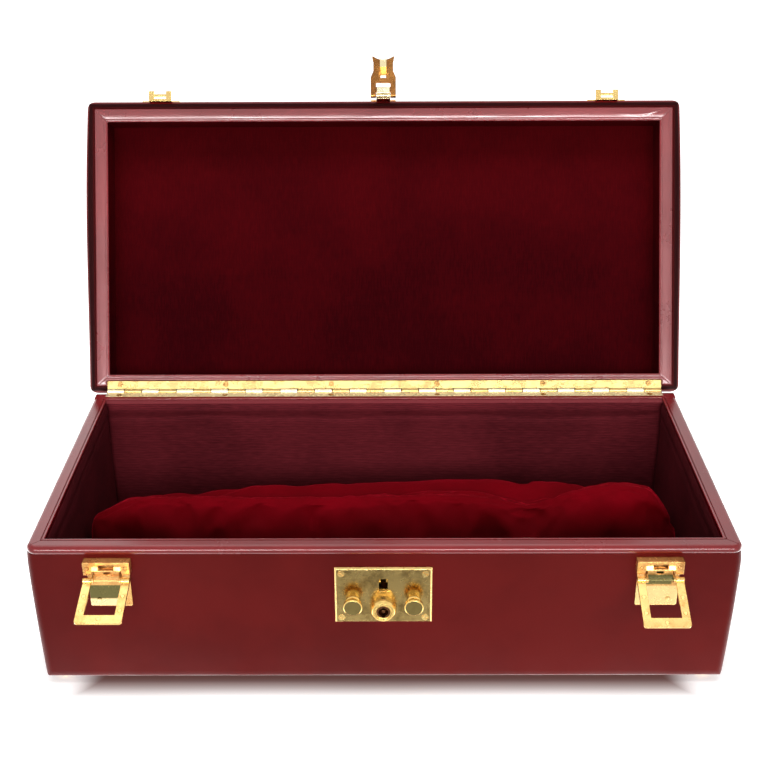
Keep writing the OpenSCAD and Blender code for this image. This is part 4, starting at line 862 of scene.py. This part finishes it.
# %% The pad lies in the case
dress_smooth(pad.data, VELVET)
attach(pad, "case")
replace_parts(pad, "velvet_pad")
pad_points = points_of(pad.data) / MM
print("pad spans", pad_points.min(axis=0).round(1), pad_points.max(axis=0).round(1), "mm, with",
      len(pad.data.polygons), "faces")

# %% [markdown]
# ## The leather frame of the lid
# Four strips of leather meet in mitres round the lid's mouth. Each is glued over a board and pressed by
# hand, so it is a little crowned, sinks at its mitres and turns down into the recess. A section of the
# strip, drawn once, is carried round the mouth as nested rectangles, which keeps the mitres true. It is
# drawn with the lid shut, where everything is square, and then turned open about the hinge.

# %% The mouth of the case and the open lid
LINING_T = 0.9
HALF_RIM_GAP = 0.2
mouth = (mouth_low[0] / MM + LINING_T, mouth_high[0] / MM - LINING_T, mouth_low[1] / MM + LINING_T,
         mouth_high[1] / MM - LINING_T)
lid_mouth_z = hinge_line[1] / MM + HALF_RIM_GAP
print("mouth:", [round(float(v), 1) for v in mouth], "lid's mouth at", round(lid_mouth_z, 1))


def opened(points):
    """Points drawn on the shut lid, in millimetres, put where the open lid has them, in metres."""
    turn = math.radians(-LID_OPEN)
    y, z = points[:, 1] - hinge_line[0] / MM, points[:, 2] - hinge_line[1] / MM
    turned = np.column_stack([points[:, 0], y * math.cos(turn) - z * math.sin(turn) + hinge_line[0] / MM,
                              y * math.sin(turn) + z * math.cos(turn) + hinge_line[1] / MM])
    return turned * MM


def side_steps(length, close=0.35, wide=3.0, corner=11.0):
    """Places along a side: close together near its ends, wider in its middle."""
    end = np.arange(0, corner, close)
    middle = np.linspace(corner, length - corner, int((length - 2 * corner) / wide))
    return np.concatenate([end, middle, length - end[::-1]]) / length


STRIP = [(0.9, 3.4), (0.0, 3.4), (-0.05, 2.4), (-0.04, 1.3), (0.1, 0.6), (0.4, 0.2), (0.9, 0.03), (1.3, 0.06),
         (1.7, 0.2), (2.1, 0.12), (2.9, -0.03), (4.0, -0.1), (5.2, -0.06), (6.3, 0.05), (7.2, 0.2),
         (7.8, 0.45), (8.0, 0.8), (7.9, 1.2), (4.0, 1.2), (0.9, 1.2)]


def strip_frame(strip, back_share, steps_per_span=2):
    """A mitred frame round the mouth: a closed section of offsets and depths, carried round as a loop."""
    left, right, front, back = mouth
    section = smooth_loop(strip, steps_per_span)
    out, depth = section[:, 0], section[:, 1]
    corners = [(left, front, -1, -1), (right, front, 1, -1), (right, back, 1, back_share),
               (left, back, -1, back_share)]
    rings = []
    for (ax, ay, aox, aoy), (bx, by, box, boy) in zip(corners, corners[1:] + corners[:1]):
        length = math.hypot(bx - ax, by - ay)
        for t in side_steps(length)[:-1]:
            start = np.column_stack([ax + aox * out, ay + aoy * out])
            end = np.column_stack([bx + box * out, by + boy * out])
            flat = start * (1 - t) + end * t
            from_corner = min(t, 1 - t) * (length + 2 * out)
            groove = 0.24 * np.exp(-(from_corner / 0.45) ** 2) * (depth < 1.0)
            rings.append(np.column_stack([flat, depth + groove]))
    return np.concatenate(rings), ring_faces(len(rings), len(section), closed=True)


def solid_piece(name, points, faces, material, body):
    """A closed mesh from points in metres, dressed and riding on a body."""
    made = closed_piece(name, points, faces)
    dress_smooth(made.data, material)
    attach(made, body)
    return made


# %% The lid's frame
points, faces = strip_frame(STRIP, back_share=0.85)
x, y, depth = points.T.copy()
# Handwork: slow waves in the leather, two folds over the front right mitre, and the hinge leaf's bed.
offset = np.maximum.reduce([np.abs(x) - mouth[1], mouth[2] - y, y - mouth[3]])
along = np.where(np.abs(x) - mouth[1] >= offset - 1e-6, y + 400, x)
wave = np.array([noise.noise(Vector((a * 0.05, o * 0.2, 0.0))) + 0.7 * noise.noise(
    Vector((a * 0.045, o * 1.3, 5.0))) for a, o in zip(along, offset)])
fold_x, fold_y = x - mouth[1], mouth[2] - y
fold = np.exp(-((fold_y - 3.4 - 0.012 * (fold_x + 16) ** 2) / 0.7) ** 2) * np.exp(-((fold_x + 8) / 13) ** 2)
fold += (0.8 * np.exp(-((fold_x - 4.4 - 0.02 * (fold_y + 5) ** 2) / 0.6) ** 2)
         * np.exp(-((fold_y + 2) / 6) ** 2))
face_up = depth < 0.9
depth = depth + face_up * (0.07 * wave - 0.3 * fold)
bed = (y > pin_low[1] / MM - 6.2) & (np.abs(x) < abs(pin_low[0]) / MM + 0.6)
depth = np.where(bed, np.maximum(depth, 0.9), depth)
lid_frame = solid_piece("lid_frame_leather", opened(np.column_stack([x, y, lid_mouth_z + depth])), faces,
                        LID_RIM_LEATHER, "lid")
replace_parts(lid_frame, "lid_rim")
print("lid frame:", len(faces), "faces")

# %% [markdown]
# ## Welts
# A thin cord covered in leather finishes the inner edge of each frame, and its round back draws a fine
# light line. Geometry Nodes suit it: a rectangle is rounded at its corners and a circle runs along it, and
# its sizes stay named inputs of the tree.

# %% The welt's tree
def make_welt_tree():
    tree, given, out = node_group(
        "welt",
        [("Width", FLOAT, 0.3), ("Length", FLOAT, 0.15), ("Corner radius", FLOAT, 0.001),
         ("Cord radius", FLOAT, 0.0005), ("Leather", "NodeSocketMaterial", None)],
        [("Geometry", "NodeSocketGeometry")], "GeometryNodeTree")
    path = node(tree, "GeometryNodeCurvePrimitiveQuadrilateral", mode="RECTANGLE", in_Width=given["Width"],
                in_Height=given["Length"])
    rounded = node(tree, "GeometryNodeFilletCurve", mode="POLY", in_Curve=path.outputs[0], in_Count=5,
                   in_Radius=given["Corner radius"])
    circle = node(tree, "GeometryNodeCurvePrimitiveCircle", mode="RADIUS", in_Resolution=10,
                  in_Radius=given["Cord radius"])
    cord = node(tree, "GeometryNodeCurveToMesh", in_Curve=rounded.outputs[0],
                in_Profile_Curve=circle.outputs[0])
    real = node(tree, "GeometryNodeRealizeInstances", in_Geometry=cord.outputs[0])
    dressed = node(tree, "GeometryNodeSetMaterial", in_Geometry=real.outputs[0], in_Material=given["Leather"])
    give(out, Geometry=dressed.outputs[0])
    return tree


WELT = make_welt_tree()


def welt(name, inset, level, radius, body, place=lambda points: points * MM):
    """A welt round the mouth at some inset and height, put in place by a function of points in mm."""
    left, right, front, back = mouth
    made = placed(name, bpy.data.meshes.new(name))
    grown = made.modifiers.new("welt", "NODES")
    grown.node_group = WELT
    sizes = {"Width": (right - left - 2 * inset) * MM, "Length": (back - front - 2 * inset) * MM,
             "Corner radius": 1.0 * MM, "Cord radius": radius * MM, "Leather": WELT_LEATHER}
    for socket in WELT.interface.items_tree:
        if socket.in_out == "INPUT":
            grown[socket.identifier] = sizes[socket.name]
    bake_modifiers(made)
    middle = np.array([(left + right) / 2, (front + back) / 2, level])
    set_points(made.data, place(points_of(made.data) / MM + middle))
    for face in made.data.polygons:
        face.use_smooth = True
    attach(made, body)
    print(name, "has", len(made.data.polygons), "faces")


welt("lid_welt", -0.15, lid_mouth_z + 0.35, 0.5, "lid", opened)
rim_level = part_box("body_rim")[1][2] / MM
welt("body_welt", -0.1, rim_level - 0.35, 0.45, "case")

# %% [markdown]
# ## The leather over the boards
# The side walls of the real case aren't quite flat: the leather stands a little fuller where it turns in,
# towards the rim of the body and high on the lid. A copy of each cover is cut into level bands, and each
# band moves outwards by its own small amount. The walls that carry the fittings keep their faces.

# %% Fuller side walls
def fuller_sides(name, source, material, body, left_mm, right_mm, rise, from_x, bands=26):
    """A copy of a cover whose side walls bulge by up to so many millimetres, by a function of height 0-1."""
    mesh = nodes[source].data.copy()
    mesh.name = name
    form = bmesh.new()
    form.from_mesh(mesh)
    bmesh.ops.remove_doubles(form, verts=form.verts, dist=1e-6)
    (_, _, low), (wide, _, high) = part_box(source)
    wide /= MM
    for level in np.linspace(low, high, bands + 1)[1:-1]:
        bmesh.ops.bisect_plane(form, geom=form.verts[:] + form.edges[:] + form.faces[:],
                               plane_co=(0, 0, float(level)), plane_no=(0, 0, 1))
    for vert in form.verts:
        side = min(1, max(0, (abs(vert.co.x) / MM - from_x) / (wide - from_x) * 1.6))
        most = right_mm if vert.co.x > 0 else left_mm
        push = side * side * (3 - 2 * side) * rise((vert.co.z - low) / (high - low)) * most
        vert.co.x += math.copysign(push * MM, vert.co.x)
    form.to_mesh(mesh)
    form.free()
    put_on(mesh, material)
    made = placed(name, mesh)
    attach(made, body)
    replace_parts(made, source)
    print(name, "has", len(mesh.polygons), "faces")


def below_roll(t):
    """Full just under the rim and drawn in again where the leather meets the roll."""
    return math.sin(min(1, t * 1.1) * math.pi / 2) * (1 - 0.35 * min(1, max(0, (t - 0.9) / 0.1)) ** 2)


def high_on_lid(t):
    return max(0.0, math.sin(math.pi * min(1, max(0, t)) ** 1.6))


fuller_sides("body_leather", "body_cover", COVER_LEATHER, "case", 1.5, 2.3, below_roll, 166)
fuller_sides("roll_leather_skin", "body_rim", ROLL_LEATHER, "case", 0.1, 0.9, lambda t: 1.0, 173, bands=2)
fuller_sides("lid_leather_skin", "lid_cover", LID_LEATHER, "lid", 1.5, 1.1, high_on_lid, 180)

# %% [markdown]
# ## The body's lining
# The cloth of the back and side walls is glued only at its edges. Below the leather lip it bulges a little
# and then falls into a soft, wavering crease. Each panel is a fine grid whose depth is a function of the
# place, with a flat back on the board.

# %% Lining panels
def lining_panel(name, source, along, low, high, face, inward, axis, cloth, columns, rows=70):
    """A padded wall panel: it runs along one axis between two heights, and stands inward from its face."""
    start, end = along
    u, v = np.meshgrid(np.linspace(start, end, columns), np.linspace(low, high, rows), indexing="ij")
    u, v = u.ravel(), v.ravel()
    slow = np.array([noise.noise(Vector((a * 0.02, b * 0.05, face * 0.1))) for a, b in zip(u, v)])
    crease_v = high - 9.2 + 1.1 * np.sin(u / 23) + 0.7 * np.sin(u / 9.1 + 1)
    out = 0.85 * np.exp(-((v - high + 4.4) / 2.6) ** 2) - 0.4 * np.exp(-((v - crease_v) / 1.1) ** 2)
    out += 0.3 * np.exp(-((v - crease_v + 4) / 4) ** 2) + 0.25 * slow + 0.3
    edge = np.minimum.reduce([(u - start) / 2.5, (end - u) / 2.5, (v - low) / 2.5, (high - v) / 1.2])
    out *= np.clip(edge, 0, 1)
    front_at = face + inward * np.maximum(out, -0.5)
    back_at = np.full_like(u, face - inward * LINING_T * 0.98)
    points = np.concatenate([np.column_stack([u, depth_at, v] if axis == "x" else [depth_at, u, v])
                             for depth_at in (front_at, back_at)]) * MM

    def cell(i, j, k):
        return (k * columns + i) * rows + j

    along_u, along_v = range(columns - 1), range(rows - 1)
    faces = []
    for i, j in ((i, j) for i in along_u for j in along_v):
        faces.append((cell(i, j, 0), cell(i + 1, j, 0), cell(i + 1, j + 1, 0), cell(i, j + 1, 0)))
        faces.append((cell(i, j, 1), cell(i, j + 1, 1), cell(i + 1, j + 1, 1), cell(i + 1, j, 1)))
    faces += [(cell(i, j, 0), cell(i + 1, j, 0), cell(i + 1, j, 1), cell(i, j, 1))
              for i in along_u for j in (0, rows - 1)]
    faces += [(cell(i, j, 0), cell(i, j + 1, 0), cell(i, j + 1, 1), cell(i, j, 1))
              for j in along_v for i in (0, columns - 1)]
    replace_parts(solid_piece(name, points, faces, cloth, "case"), source)


left, right, front, back = mouth
panel_low, panel_high = (corner[2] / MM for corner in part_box("lining_back"))
for name, source, along, face, inward, axis, cloth, columns in (
        ("back_wall_cloth", "lining_back", (left, right), back, -1, "x", BODY_LINING, 170),
        ("left_wall_cloth", "lining_left", (front, back), left, 1, "y", SHADED_SIDE_LINING, 90),
        ("right_wall_cloth", "lining_right", (front, back), right, -1, "y", SHADED_SIDE_LINING, 90)):
    lining_panel(name, source, along, panel_low, panel_high, face, inward, axis, cloth, columns)
print("panels from", round(panel_low, 1), "to", round(panel_high, 1), "mm")
